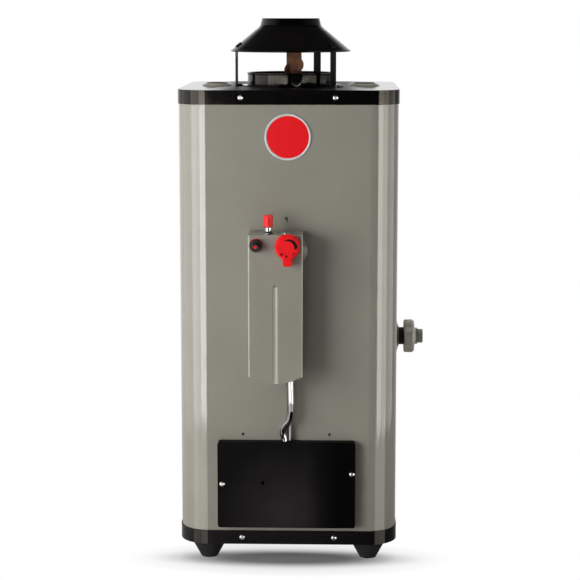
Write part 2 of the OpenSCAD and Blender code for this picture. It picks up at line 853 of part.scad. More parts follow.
module drain_nipple() {
    color(gloss_black) at_body() difference() {
        union() {
            along_x(0, drain_z, vessel_r - 4, nipple_x, nipple_r);
            along_x(0, drain_z, nipple_x - cut, drain_tail_x - spigot_len, drain_tail_r);
            along_x(0, drain_z, drain_tail_x - spigot_len - cut, drain_tail_x, spigot_r);
        }
        along_x(0, drain_z, vessel_r - 4 - cut, drain_tail_x + cut, drain_bore);
    }
}

module drain_handwheel() {
    thick = wheel_x1 - wheel_x0;
    hub = 12.6;
    dip_r = 16;
    color(steel_dark) at_body() facing_right(wheel_x0, 0, drain_z) difference() {
        rotate_extrude()
            polygon([[wheel_bore, 0], [wheel_r - 1.5, 0], [wheel_r, 1.5], [wheel_r, 13],
                     [wheel_r - 2.8, 16], [hub + 1, 16.4], [hub, thick], [wheel_bore, thick]]);
        for (i = [0 : wheel_lobes - 1])
            rotate([0, 0, wheel_turn + i * 360 / wheel_lobes])
                translate([wheel_r + dip_r - wheel_dip, 0, -cut])
                    cylinder(h = thick + 2 * cut, r = dip_r);
    }
}

module drain_clip() {
    clip_x = wheel_x1 + 0.4;
    color(zinc) at_body() difference() {
        along_x(0, drain_z, clip_x, clip_x + 1.4, clip_r);
        along_x(0, drain_z, clip_x - cut, clip_x + 3, drain_tail_r + 0.05);
    }
}

// Gas control

module control_outline(inset) {
    w = cover_w - 2 * inset;
    d = cover_d - inset;
    r = cover_bend - inset / 2;
    translate([cover_x - w / 2, -half_w - d + r]) square([w, d - r]);
    translate([cover_x - w / 2 + r, -half_w - d]) square([w - 2 * r, d]);
    for (s = [-1, 1])
        translate([cover_x + s * (w / 2 - r), -half_w - d + r]) circle(r = r);
}

module control_cover() {
    sag = cover_side_low - cover_low;
    edge_r = (cover_w * cover_w / 4 + sag * sag) / (2 * sag);
    color(paint_grey) at_body() difference() {
        intersection() {
            translate([0, 0, cover_low])
                linear_extrude(cover_top - cover_low) control_outline(0);
            union() {
                along_y(cover_x, cover_low + edge_r, cover_y - cut, -half_w + cut, edge_r);
                box(cover_x - cover_w, cover_x + cover_w, cover_y - cut, -half_w + cut,
                    cover_side_low, cover_top);
            }
        }
        difference() {
            translate([0, 0, cover_low - cut])
                linear_extrude(cover_top - cover_t - cover_low + cut)
                    union() {
                        control_outline(cover_t);
                        translate([cover_x - cover_w / 2 + cover_t, -half_w - cut])
                            square([cover_w - 2 * cover_t, 2 * cut]);
                    }
            translate([cover_x, bead_y, cover_low - 2 * cut])
                cylinder(h = bead_top - cover_low + 2 * cut, r = bead_r + cover_t);
            translate([cover_x, bead_y, bead_top]) sphere(r = bead_r + cover_t);
        }
        translate([cover_x, bead_y, cover_low - 2 * cut])
            cylinder(h = bead_top - cover_low + 2 * cut, r = bead_r);
        translate([cover_x, bead_y, bead_top]) sphere(r = bead_r);
        along_y(knob_x, knob_z, cover_y - cut, cover_inner_y + cut, knob_hole_r);
        along_y(igniter_x, igniter_z, cover_y - cut, cover_inner_y + cut, igniter_hole_r);
        along_y(shank_x, shank_z, -half_w - rosette_h - cut, -half_w + cut, rosette_r + 0.6);
        along_z(pilot_x, pilot_y, cover_top - cover_t - cut, cover_top + cut, pilot_hole_r);
        along_z(cover_screw[0], cover_screw[1], cover_top - cover_t - cut, cover_top + cut, hole_r);
        along_z(cover_hole[0], cover_hole[1], cover_top - cover_t - cut, cover_top + cut, cover_hole_r);
        for (p = cover_top_holes)
            along_z(p[0], p[1], cover_top - cover_t - cut, cover_top + cut, cover_top_hole_r);
    }
}

module thermostat_body() {
    boss_r = 10;
    hex_h = 4.5;
    boss_y = cover_inner_y + 1.5;
    w = stat_x1 - stat_x0;
    d = stat_y1 - stat_y0;
    color(bright_aluminium) at_body() difference() {
        union() {
            translate([(stat_x0 + stat_x1) / 2, (stat_y0 + stat_y1) / 2, stat_z0])
                linear_extrude(stat_z1 - stat_z0) rounded_rect(w, d, stat_corner);
            along_y(knob_x, knob_z, boss_y, stat_y0 + cut, boss_r);
            translate([shank_x, stat_y1 - cut, shank_z]) rotate([-90, 0, 0])
                cylinder(h = hex_h + cut, r = shank_hex_r, $fn = 6);
            along_y(shank_x, shank_z, stat_y1 - cut, -vessel_r + 2, shank_r);
            translate([gas_x, gas_y, stat_z0 - gas_hex_h])
                cylinder(h = gas_hex_h + cut, r = gas_hex_r, $fn = 6);
            along_z(gas_x, gas_y, stat_z0 - gas_hex_h - gas_len, stat_z0, gas_r);
        }
        along_z(gas_x, gas_y, stat_z0 - gas_hex_h - gas_len - cut, stat_z0 + 20, gas_bore);
        along_y(knob_x, knob_z, boss_y - cut, stat_y0 + 10, spindle_bore);
        along_z(pilot_x, pilot_y, pilot_well_z, stat_z1 + cut, pilot_well_r);
        along_z(cover_screw[0], cover_screw[1], stat_z1 - 6, stat_z1 + cut, hole_r);
    }
}

module sensing_rod() {
    color(brass) at_body() along_y(shank_x, shank_z, -vessel_r + 2, rod_end, rod_r);
}

module tube_nut(p, r, bore, h) {
    translate([p[0], p[1], stat_z0 - h]) difference() {
        cylinder(h = h, r = r, $fn = 6);
        translate([0, 0, -cut]) cylinder(h = h + 2 * cut, r = bore);
    }
}

module tube_nuts() {
    color(brass) at_body() {
        tube_nut(burner_route[0], burner_nut[0], burner_tube_r + 0.2, burner_nut[1]);
        tube_nut(pilot_route[0], pilot_nut[0], pilot_tube_r + 0.2, pilot_nut[1]);
    }
}

module burner_tube() {
    color(bright_aluminium) at_body() swept_tube(eased(burner_route, route_steps), burner_tube_r, 10);
}

module pilot_tube() {
    color(bright_aluminium) at_body() swept_tube(eased(pilot_route, route_steps), pilot_tube_r, 8);
}

module thermocouple() {
    color("peru") at_body() swept_tube(eased(thermocouple_route, route_steps), lead_r, 8);
}

module ignition_lead() {
    color(gloss_black) at_body() swept_tube(eased(ignition_route, route_steps), lead_r, 8);
}

// Burner

module venturi() {
    leg_t = 2;
    leg_w = 20;
    legs_y = [-62, 8];
    inner = venturi_r - venturi_t;
    color(steel_plain) at_body() difference() {
        union() {
            along_y(0, venturi_z, venturi_y0, venturi_r, venturi_r);
            translate([0, venturi_y0, venturi_z]) rotate([-90, 0, 0])
                cylinder(h = 14, r1 = venturi_mouth_r, r2 = venturi_r);
            along_z(0, 0, venturi_z, bowl_z, venturi_r);
            for (y = legs_y) {
                box(-leg_w / 2, leg_w / 2, y, y + leg_t, tray_top, venturi_z - inner - 0.5);
                box(-leg_w / 2, leg_w / 2, y, y + 16, tray_top, tray_top + leg_t);
            }
        }
        along_y(0, venturi_z, venturi_y0 - cut, inner - cut, inner);
        translate([0, venturi_y0 - 0.01, venturi_z]) rotate([-90, 0, 0])
            cylinder(h = 14, r1 = venturi_mouth_r - venturi_t, r2 = inner);
        along_z(0, 0, venturi_z, bowl_z + cut, inner);
    }
}

module burner_bowl() {
    hole = venturi_r - venturi_t;
    color(steel_plain) at_body() rotate_extrude()
        polygon([[hole, bowl_z], [58, bowl_z], [66, bowl_z + 12], [bowl_r, bowl_z + 12],
                 [bowl_r, bowl_z + 13.5], [65, bowl_z + 13.5], [57, bowl_z + 1.5], [hole, bowl_z + 1.5]]);
}

module burner_cap() {
    rim = bowl_z + 13.5;
    color(steel_dark) at_body() difference() {
        rotate_extrude()
            polygon([[0, rim + 10.5], [50, rim + 8.5], [66, rim], [bowl_r, rim], [bowl_r, rim + 1.5],
                     [66.6, rim + 1.5], [50.3, rim + 10], [0, rim + 12]]);
        for (ring = [[57, 24], [40, 16]], i = [0 : ring[1] - 1])
            rotate([0, 0, i * 360 / ring[1]])
                along_z(ring[0], 0, rim - cut, rim + 20, port_r);
    }
}

module burner_jet() {
    hex_len = 6;
    color(brass) at_body() translate([0, jet_y, venturi_z]) rotate([-90, 0, 0]) difference() {
        union() {
            cylinder(h = hex_len, r = 7, $fn = 6);
            translate([0, 0, hex_len]) cylinder(h = 9, r1 = 5, r2 = 2.6);
        }
        translate([0, 0, -cut]) cylinder(h = 20, r = 0.9);
    }
}

// Bracket under the bowl's rim with the pilot hood; thermocouple and electrode stand in it
module pilot_burner() {
    plate_z = bowl_z + 10.4;
    plate_t = 1.6;
    hood = pilot_spots[1];
    color(steel_plain) at_body() difference() {
        union() {
            box(bracket_x[0], bracket_x[1], bracket_y[0], bracket_y[1], plate_z, plate_z + plate_t);
            along_z(hood[0], hood[1], bowl_z - 6, bowl_z + 26, 4.5);
        }
        along_z(hood[0], hood[1], bowl_z - 6 - cut, bowl_z + 27, pilot_tube_r - 0.5);
        along_z(pilot_spots[0][0], pilot_spots[0][1], plate_z - cut, plate_z + 3, lead_r + 0.3);
        along_z(pilot_spots[2][0], pilot_spots[2][1], plate_z - cut, plate_z + 3, 3.2);
    }
}

module spark_electrode() {
    p = pilot_spots[2];
    color(ceramic_white) at_body() {
        along_z(p[0], p[1], bowl_z - 5, bowl_z + 22, 3);
        along_z(p[0], p[1], bowl_z + 21, bowl_z + 30, 1);
        along_x(p[1], bowl_z + 29, p[0] - 1, p[0] + 6, 1);
    }
}

// Dial, pilot button and igniter

module control_knob() {
    color(dial_red) at_body() facing_front(knob_x, cover_y, knob_z) difference() {
        union() {
            rotate_extrude()
                polygon([[0, 0.5], [7, 0.5], [7, 4], [knob_r - 0.8, 4], [knob_r, 4.8], [knob_r, 9.5],
                         [knob_r - 1.6, 11], [knob_face_r + 0.6, 11.6], [knob_face_r, 12.4],
                         [knob_face_r, knob_front - 0.8], [knob_face_r - 0.8, knob_front], [0, knob_front]]);
            translate([-knob_tab_w / 2, -knob_tab_low, 6]) cube([knob_tab_w, knob_tab_low, knob_front - 7.5]);
        }
        translate([0, 0, -cut]) cylinder(h = 13 + cut, r = spindle_r + 0.02);
    }
}

module knob_spindle() {
    color(steel_plain) at_body()
        along_y(knob_x, knob_z, cover_y - 12.8, stat_y0 + 9.5, spindle_r);
}

module pilot_cap() {
    bore_top = pilot_cap_z0 + 9.2;
    stem_top = pilot_cap_z0 + 13.5;
    color(dial_red) at_body() translate([pilot_x, pilot_y, 0]) difference() {
        rotate_extrude()
            polygon([[stem_r + 0.02, stem_top], [0, stem_top], [0, pilot_cap_z1],
                     [pilot_cap_r - 1.4, pilot_cap_z1], [pilot_cap_r, pilot_cap_z1 - 1.6],
                     [pilot_cap_r, pilot_cap_z0 + 1], [pilot_cap_r - 0.5, pilot_cap_z0],
                     [pilot_neck_r + 0.35, pilot_cap_z0], [pilot_neck_r + 0.35, bore_top],
                     [stem_r + 0.02, bore_top]]);
        for (i = [0 : pilot_flutes - 1])
            rotate([0, 0, i * 360 / pilot_flutes])
                along_z(pilot_cap_r + 0.5, 0, pilot_cap_z0 - cut, pilot_cap_z1 - 2.4, 0.9);
    }
}

module pilot_stem() {
    color(steel_plain) at_body() {
        along_z(pilot_x, pilot_y, stem_flange_z, pilot_cap_z0 + 13.4, stem_r);
        along_z(pilot_x, pilot_y, stem_flange_z, stem_flange_z + 2, pilot_well_r - 0.2);
        along_z(pilot_x, pilot_y, stem_flange_z - 10, stem_flange_z + 1, 2);
    }
}

module pilot_bush() {
    color(zinc) at_body() translate([pilot_x, pilot_y, cover_top]) rotate_extrude()
        polygon([[stem_bore, stat_z1 - cover_top], [pilot_neck_r - 0.1, stat_z1 - cover_top],
                 [pilot_neck_r - 0.1, 0], [pilot_flange_r, 0], [pilot_flange_r, 1.4],
                 [pilot_flange_r - 0.8, 2.2], [pilot_neck_r - 0.9, 2.6], [pilot_neck_r, 4.2],
                 [pilot_neck_r, 9.4], [pilot_neck_r - 0.5, 10], [stem_bore, 10]]);
}

module pilot_spring() {
    rings_per_turn = 8;
    low = pilot_well_z + spring_wire + 0.1;
    high = stem_flange_z - spring_wire - 0.1;
    steps = spring_turns * rings_per_turn;
    path = [
        for (i = [0 : steps])
            let (a = 360 * i / rings_per_turn)
            [spring_r * cos(a), spring_r * sin(a), low + (high - low) * i / steps]
    ];
    color(zinc) at_body() translate([pilot_x, pilot_y, 0]) swept_tube(path, spring_wire, 6);
}

module igniter_barrel() {
    back = -half_w - 12;
    color(gloss_black) at_body() difference() {
        union() {
            along_y(igniter_x, igniter_z, cover_y - igniter_nut_h, back, igniter_thread_r);
            along_y(igniter_x, igniter_z, cover_inner_y, cover_inner_y + 3, igniter_flange_r);
        }
        along_y(igniter_x, igniter_z, cover_y - igniter_nut_h - cut, back - 8, plunger_bore);
    }
}

module igniter_nut() {
    notches = 12;
    color(gloss_black) at_body() facing_front(igniter_x, cover_y - igniter_washer_t, igniter_z)
        difference() {
            rotate_extrude()
                polygon([[igniter_thread_r + 0.05, 0], [igniter_nut_r, 0], [igniter_nut_r, 6],
                         [igniter_nut_r - 1, 9], [igniter_thread_r + 0.9, igniter_nut_h],
                         [igniter_thread_r + 0.05, igniter_nut_h]]);
            for (i = [0 : notches - 1])
                rotate([0, 0, i * 360 / notches])
                    translate([igniter_nut_r + 0.6, 0, -cut]) cylinder(h = 6, r = 1.1);
        }
}

module igniter_washer() {
    color(dial_red) at_body() difference() {
        along_y(igniter_x, igniter_z, cover_y - igniter_washer_t, cover_y, igniter_washer_r);
        along_y(igniter_x, igniter_z, cover_y - 2, cover_y + cut, igniter_thread_r + 0.1);
    }
}

module igniter_plunger() {
    length = plunger_front + 22;
    color(gloss_black) at_body() facing_front(igniter_x, cover_y + length - plunger_front, igniter_z)
        rotate_extrude()
            polygon([[0, 0], [plunger_r, 0], [plunger_r, length - 0.8], [plunger_r - 0.8, length],
                     [2.6, length], [2.3, length - 0.4], [0, length - 0.4]]);
}

jacket();
top_cover();
base_tray();
foot(-1, -1);  // foot_front_left
foot(1, -1);  // foot_front_right
foot(-1, 1);  // foot_back_left
foot(1, 1);  // foot_back_right
foot_bolts();
access_panel();
casing_screws();
badge();
control_cover();
rosette_thermostat();
rosette_drain();
rosette_hot();
rosette_cold();
flue_collar();
rain_cap();
cap_strap_left();
cap_strap_front();
cap_strap_rear();
strap_screws();
flue_baffle();
vessel_shell();
vessel_top();
vessel_bottom();
flue_tube();
heat_tubes();
combustion_chamber();
insulation();
cold_coupling();
hot_coupling();
dip_tube();
drain_nipple();
drain_handwheel();
drain_clip();
thermostat_body();
sensing_rod();
tube_nuts();
burner_tube();
pilot_tube();
thermocouple();
ignition_lead();
venturi();
burner_bowl();
burner_cap();
burner_jet();
pilot_burner();
spark_electrode();
control_knob();
knob_spindle();
pilot_cap();
pilot_stem();
pilot_bush();
pilot_spring();
igniter_barrel();
igniter_nut();
igniter_washer();
igniter_plunger();
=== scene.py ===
import json
import math

import bmesh
import bpy
import numpy as np
from mathutils import Euler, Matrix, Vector

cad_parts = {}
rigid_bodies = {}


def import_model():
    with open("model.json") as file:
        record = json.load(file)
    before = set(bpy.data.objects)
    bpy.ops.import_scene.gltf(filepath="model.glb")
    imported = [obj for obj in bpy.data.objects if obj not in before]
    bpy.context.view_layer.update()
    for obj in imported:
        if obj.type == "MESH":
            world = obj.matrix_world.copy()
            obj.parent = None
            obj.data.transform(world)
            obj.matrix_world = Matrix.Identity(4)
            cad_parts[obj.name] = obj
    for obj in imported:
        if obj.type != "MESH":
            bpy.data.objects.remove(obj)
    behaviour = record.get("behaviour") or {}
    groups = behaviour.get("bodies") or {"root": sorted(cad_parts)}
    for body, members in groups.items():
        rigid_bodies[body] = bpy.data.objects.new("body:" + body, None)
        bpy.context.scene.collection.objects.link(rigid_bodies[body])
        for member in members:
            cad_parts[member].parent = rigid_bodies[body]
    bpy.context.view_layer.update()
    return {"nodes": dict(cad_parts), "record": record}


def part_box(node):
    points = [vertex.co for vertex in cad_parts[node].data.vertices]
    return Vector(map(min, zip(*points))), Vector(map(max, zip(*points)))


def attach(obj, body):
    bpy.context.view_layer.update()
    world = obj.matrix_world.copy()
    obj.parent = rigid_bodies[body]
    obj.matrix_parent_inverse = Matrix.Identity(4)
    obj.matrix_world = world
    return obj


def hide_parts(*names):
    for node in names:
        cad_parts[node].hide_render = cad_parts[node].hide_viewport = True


for leftover in list(bpy.data.objects):
    bpy.data.objects.remove(leftover)

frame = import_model()
nodes = frame["nodes"]
mm = 0.001

# The jacket is square, so its width and its front face give the middle of the body
jacketLow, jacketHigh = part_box("jacket")
bodyMiddle = np.array([(jacketLow.x + jacketHigh.x) / 2,
                       jacketLow.y + (jacketHigh.x - jacketLow.x) / 2, 0.0])
print("frame loaded, body middle", np.round(bodyMiddle, 4))


# Grid tools

def fromBody(points):
    # millimetres from the body's middle become metres in the frame
    return np.asarray(points, float) * mm + bodyMiddle


def gridFaces(rows, cols, closeRows):
    # one quad between each point and its next neighbours; columns wrap round, rows only when closed
    r, c = np.meshgrid(np.arange(rows if closeRows else rows - 1), np.arange(cols), indexing="ij")
    r2, c2 = (r + 1) % rows, (c + 1) % cols
    return np.stack([r * cols + c, r * cols + c2, r2 * cols + c2, r2 * cols + c], -1).reshape(-1, 4)


def buildPiece(name, grids, body, slot, sharp, stands=(), closeRows=False, finish=None):
    # each grid is rows by columns of places; doubled poles are merged, normals turned outwards
    places, faces, start = [], [], 0
    for grid in grids:
        rows, cols = grid.shape[:2]
        places.append(grid.reshape(-1, 3))
        faces.append(gridFaces(rows, cols, closeRows) + start)
        start += rows * cols
    mesh = bpy.data.meshes.new(name)
    mesh.from_pydata(np.vstack(places).tolist(), [], np.vstack(faces).tolist())
    work = bmesh.new()
    work.from_mesh(mesh)
    bmesh.ops.remove_doubles(work, verts=work.verts, dist=1e-6)
    bmesh.ops.dissolve_degenerate(work, edges=work.edges, dist=1e-7)
    bmesh.ops.recalc_face_normals(work, faces=work.faces)
    work.to_mesh(mesh)
    work.free()
    mesh.shade_smooth()
    mesh.set_sharp_from_angle(angle=math.radians(sharp))
    piece = bpy.data.objects.new(name, mesh)
    bpy.context.scene.collection.objects.link(piece)
    mesh.materials.append(finish or finishes[slot])
    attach(piece, body)
    if stands:
        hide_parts(*stands)
    return piece


def easedRoute(points, steps):
    # cubic through all points: each span leans on the points before and after it
    p = np.asarray(points, float)
    a, b, c, d = (np.vstack([p[:1], p[:-2]]), p[:-1], p[1:], np.vstack([p[2:], p[-1:]]))
    t = np.linspace(0, 1, steps, endpoint=False)[None, :, None]
    a, b, c, d = (q[:, None, :] for q in (a, b, c, d))
    curve = 0.5 * (2 * b + (c - a) * t + (2 * a - 5 * b + 4 * c - d) * t ** 2
                   + (3 * b - a - 3 * c + d) * t ** 3)
    return np.vstack([curve.reshape(-1, 3), p[-1:]])


def tubeGrid(path, radius, sides):
    # circles square to the path, their first radius kept towards +X; each end closes to its middle
    heading = np.gradient(path, axis=0)
    heading /= np.linalg.norm(heading, axis=1)[:, None]
    first = np.array([1.0, 0, 0]) - heading * heading[:, :1]
    first /= np.linalg.norm(first, axis=1)[:, None]
    second = np.cross(heading, first)
    turn = np.linspace(0, 2 * np.pi, sides, endpoint=False)[None, :, None]
    rings = path[:, None, :] + radius * (np.cos(turn) * first[:, None, :] + np.sin(turn) * second[:, None, :])
    closeEnd = lambda i: np.repeat(path[i][None, None, :], sides, 1)
    return np.concatenate([closeEnd(0), rings, closeEnd(-1)], 0)


def roundedCorners(corners, cut, steps=4):
    # each inner corner of a profile becomes a short curve from one side to the next
    c = np.asarray(corners, float)
    back, ahead = c[:-2] - c[1:-1], c[2:] - c[1:-1]
    backLength = np.linalg.norm(back, axis=-1, keepdims=True)
    aheadLength = np.linalg.norm(ahead, axis=-1, keepdims=True)
    start = c[1:-1] + back / backLength * np.minimum(cut, backLength * 0.45)
    end = c[1:-1] + ahead / aheadLength * np.minimum(cut, aheadLength * 0.45)
    t = np.linspace(0, 1, steps + 1).reshape((1, -1) + (1,) * (c.ndim - 1))
    bend = (1 - t) ** 2 * start[:, None] + 2 * t * (1 - t) * c[1:-1][:, None] + t ** 2 * end[:, None]
    # one more point on each side holds the flats flat
    before = start + back / backLength * np.minimum(0.2, backLength * 0.04)
    after = end + ahead / aheadLength * np.minimum(0.2, aheadLength * 0.04)
    bend = np.concatenate([before[:, None], bend, after[:, None]], 1)
    return np.concatenate([c[:1], bend.reshape((-1,) + c.shape[1:]), c[-1:]], 0)


def turnedGrid(radii, heights, cut, sides, centre, axis):
    # a profile of radius and height turned round an axis; radii may vary with the angle
    angle = np.linspace(0, 2 * np.pi, sides, endpoint=False)
    levels = max(len(radii), len(heights))
    r = np.broadcast_to(np.asarray(radii, float).reshape(levels, -1), (levels, sides))
    h = np.broadcast_to(np.asarray(heights, float).reshape(levels, -1), (levels, sides))
    profile = roundedCorners(np.stack([r, h], -1), cut)
    u, v, w = {"front": ((1, 0, 0), (0, 0, 1), (0, -1, 0)),
               "right": ((0, -1, 0), (0, 0, 1), (1, 0, 0)),
               "up": ((1, 0, 0), (0, 1, 0), (0, 0, 1))}[axis]
    ring = np.cos(angle)[:, None] * np.array(u, float) + np.sin(angle)[:, None] * np.array(v, float)
    return fromBody(np.asarray(centre, float) + profile[..., :1] * ring[None]
                    + profile[..., 1:] * np.array(w, float))


# Finishes: each is one node tree on Object coordinates

class Finish:
    def __init__(self, name, **sockets):
        self.material = bpy.data.materials.new(name)
        self.material.use_nodes = True
        self.tree = self.material.node_tree
        self.shader = self.tree.nodes["Principled BSDF"]
        self.coords = self.tree.nodes.new("ShaderNodeTexCoord").outputs["Object"]
        for socket, value in sockets.items():
            self.set(socket.replace("_", " "), value)

    def set(self, socket, value):
        self.shader.inputs[socket].default_value = (*value, 1) if isinstance(value, tuple) else value

    def link(self, output, target):
        self.tree.links.new(output, self.shader.inputs[target] if isinstance(target, str) else target)

    def node(self, kind, **settings):
        made = self.tree.nodes.new("ShaderNode" + kind)
        for key, value in settings.items():
            setattr(made, key, value)
        return made

    def mapped(self, centre=(0, 0, 0), stretch=(1, 1, 1)):
        # places counted from a centre and stretched
        shift = self.node("Mapping", vector_type="POINT")
        shift.inputs["Location"].default_value = [-c * s for c, s in zip(centre, stretch)]
        shift.inputs["Scale"].default_value = stretch
        self.link(self.coords, shift.inputs["Vector"])
        return shift.outputs["Vector"]

    def noise(self, scale, detail=3.0, rough=0.5, coords=None):
        # layered noise, each finer layer weaker by the rough factor
        made = self.node("TexNoise")
        made.inputs["Scale"].default_value = scale
        made.inputs["Detail"].default_value = detail
        made.inputs["Roughness"].default_value = rough
        self.link(coords or self.coords, made.inputs["Vector"])
        return made.outputs["Fac"]

    def cells(self, scale):
        # distance to the nearest of many scattered points
        made = self.node("TexVoronoi")
        made.inputs["Scale"].default_value = scale
        self.link(self.coords, made.inputs["Vector"])
        return made.outputs["Distance"]

    def parts(self, coords=None):
        # the X, Y and Z of a place
        made = self.node("SeparateXYZ")
        self.link(coords or self.coords, made.inputs["Vector"])
        return made.outputs

    def mix(self, factor, a, b):
        # colour a where the factor is 0, colour b where it is 1
        made = self.node("Mix", data_type="RGBA")
        for socket, value in (("Factor", factor), ("A", a), ("B", b)):
            if isinstance(value, tuple):
                made.inputs[socket].default_value = (*value, 1)
            else:
                self.link(value, made.inputs[socket])
        return made.outputs["Result"]

    def spread(self, value, low, high, start=0.3, end=0.7):
        # carries a pattern's start to end range onto low to high
        made = self.node("MapRange", clamp=True)
        for socket, number in zip(("From Min", "From Max", "To Min", "To Max"), (start, end, low, high)):
            made.inputs[socket].default_value = number
        self.link(value, made.inputs["Value"])
        return made.outputs["Result"]

    def colours(self, value, *stops):
        # a colour ramp over the value, each stop a place and a colour
        made = self.node("ValToRGB")
        ramp = made.color_ramp
        while len(ramp.elements) < len(stops):
            ramp.elements.new(0.5)
        for element, (place, colour) in zip(ramp.elements, stops):
            element.position = place
            element.color = (*colour, 1)
        self.link(value, made.inputs["Fac"])
        return made.outputs["Color"]

    def math(self, operation, a, b=0.0):
        # one arithmetic step on two values, each a number or another output
        made = self.node("Math", operation=operation)
        for socket, value in zip(made.inputs, (a, b)):
            if hasattr(value, "is_linked"):
                self.link(value, socket)
            else:
                socket.default_value = value
        return made.outputs["Value"]

    def bump(self, value, strength, distance=0.001, below=None):
        # a normal tilted by the value's slope, over the bump below it
        made = self.node("Bump")
        made.inputs["Strength"].default_value = strength
        made.inputs["Distance"].default_value = distance
        self.link(value, made.inputs["Height"])
        if below is not None:
            self.link(below, made.inputs["Normal"])
        return made.outputs["Normal"]


def shade(colour, factor):
    # each channel times the factor, held at 1
    return tuple(min(1.0, c * factor) for c in colour)


jacketLook = {"paint": (0.286, 0.273, 0.224), "mottle": 0.05, "peelScale": 420, "peelDepth": 0.025,
              "roughness": (0.34, 0.42), "coat": 0.9, "rosetteCoat": 0.15, "coatRoughness": 0.03}


def jacketPaint(name, coat):
    # cloudy grey paint under a clear coat, both with the same fine peel
    f = Finish(name, Specular_IOR_Level=0.35, Coat_Weight=coat, Coat_Roughness=jacketLook["coatRoughness"])
    paint, mottle = jacketLook["paint"], jacketLook["mottle"]
    f.link(f.colours(f.noise(14, 4), (0.3, shade(paint, 1 - mottle)), (0.7, shade(paint, 1 + mottle))),
           "Base Color")
    f.link(f.spread(f.noise(60, 4), *jacketLook["roughness"]), "Roughness")
    peel = f.bump(f.noise(jacketLook["peelScale"], 2), jacketLook["peelDepth"])
    f.link(peel, "Normal")
    f.link(peel, "Coat Normal")
    return f.material


enamelLook = {"black": (0.0018, 0.0015, 0.0015), "dust": (0.0034, 0.003, 0.0028), "roughness": (0.07, 0.11),
              "peelScale": 320, "peelDepth": 0.035, "gloss": (1.0, 0.91, 0.8)}


def blackEnamel():
    # black with thin dust clouds, uneven gloss and a fine peel
    f = Finish("blackEnamel", Specular_IOR_Level=0.28, Specular_Tint=enamelLook["gloss"])
    f.link(f.colours(f.noise(35, 6, 0.65), (0.45, enamelLook["black"]), (0.8, enamelLook["dust"])), "Base Color")
    f.link(f.spread(f.noise(70, 5), *enamelLook["roughness"]), "Roughness")
    f.link(f.bump(f.noise(enamelLook["peelScale"], 2), enamelLook["peelDepth"]), "Normal")
    return f.material


# painted reflection on the flat black parts: lightest at a spot given from the node's middle, with painted shade
# past the right limit;
# dull is the roughness of what faces up (dust), within the dusty distance from the middle
paintedSheenAndDustLook = {
    "access_panel": {"spot": (0.0, -0.045), "reach": 0.105, "right": (0.03, 0.075),
                     "paintedSheenTones": (0.003, 0.008, 0.028), "roughness": (0.03, 0.05), "dusty": (1, 2), "dull": 0.95},
    "base_tray": {"spot": (-0.05, 0.0), "reach": 0.2, "right": (0.02, 0.14), "paintedSheenTones": (0.006, 0.0095, 0.0125),
                  "roughness": (0.07, 0.11), "dusty": (1, 2), "dull": 0.95},
    "top_cover": {"spot": (0.0, 0.0), "reach": 0.2, "right": (0.2, 0.3), "paintedSheenTones": (0.0018, 0.002, 0.003),
                  "roughness": (0.07, 0.11), "dusty": (0.085, 0.12), "dull": 0.42},
}


def paintedSheenAndDustEnamel(nodeName):
    # painted reflection fades with the distance from its spot, broken up by a little noise
    look = paintedSheenAndDustLook[nodeName]
    low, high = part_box(nodeName)
    middle = (low + high) / 2
    f = Finish(nodeName + "_enamel", Specular_IOR_Level=0.29, Specular_Tint=enamelLook["gloss"])
    place = f.parts(f.mapped(middle))
    across = f.math("SUBTRACT", place["X"], look["spot"][0])
    up = f.math("SUBTRACT", place["Z"], look["spot"][1])
    reach = f.math("SQRT", f.math("ADD", f.math("MULTIPLY", across, across), f.math("MULTIPLY", up, up)))
    sheenDistance = f.math("ADD", reach, f.spread(f.noise(25, 5), -0.006, 0.006))
    # the dust factor is painted reflection, lightest at the spot, and painted shade darkens it past the right
    # limit
    dust = f.spread(sheenDistance, 1, 0.35, 0, look["reach"])
    dust = f.math("MULTIPLY", dust, f.spread(place["X"], 1, 0, *look["right"]))
    tint = lambda tone: (tone, tone * 0.9, tone * 0.94)
    thin, mid, thick = (tint(tone) for tone in look["paintedSheenTones"])
    f.link(f.colours(dust, (0, thin), (0.35, mid), (1, thick)), "Base Color")
    # dust lies on what faces up and takes its gloss
    facing = f.parts(f.node("NewGeometry").outputs["Normal"])
    upward = f.spread(facing["Z"], 0, look["dull"], 0.4, 0.8)
    dusty = f.math("MULTIPLY", upward, f.spread(f.math("ABSOLUTE", place["X"]), 1, 0, *look["dusty"]))
    f.link(f.math("MAXIMUM", dusty, f.spread(f.noise(70, 5), *look["roughness"])), "Roughness")
    f.link(f.bump(f.noise(enamelLook["peelScale"], 2), enamelLook["peelDepth"]), "Normal")
    return f.material


zincLook = {"bright": (0.78, 0.78, 0.76), "dull": (0.58, 0.57, 0.53), "roughness": (0.16, 0.36)}


def zincPlate():
    # patchy bright and dull metal
    f = Finish("zincPlate", Metallic=1.0)
    f.link(f.colours(f.noise(260, 4), (0.35, zincLook["dull"]), (0.65, zincLook["bright"])), "Base Color")
    f.link(f.spread(f.noise(500, 3), *zincLook["roughness"]), "Roughness")
    f.link(f.bump(f.noise(900, 2), 0.05), "Normal")
    return f.material


badgeLook = {"red": (0.9, 0.006, 0.011), "rim": (0.72, 0.76, 0.76), "rimWidth": 2.9 * mm}


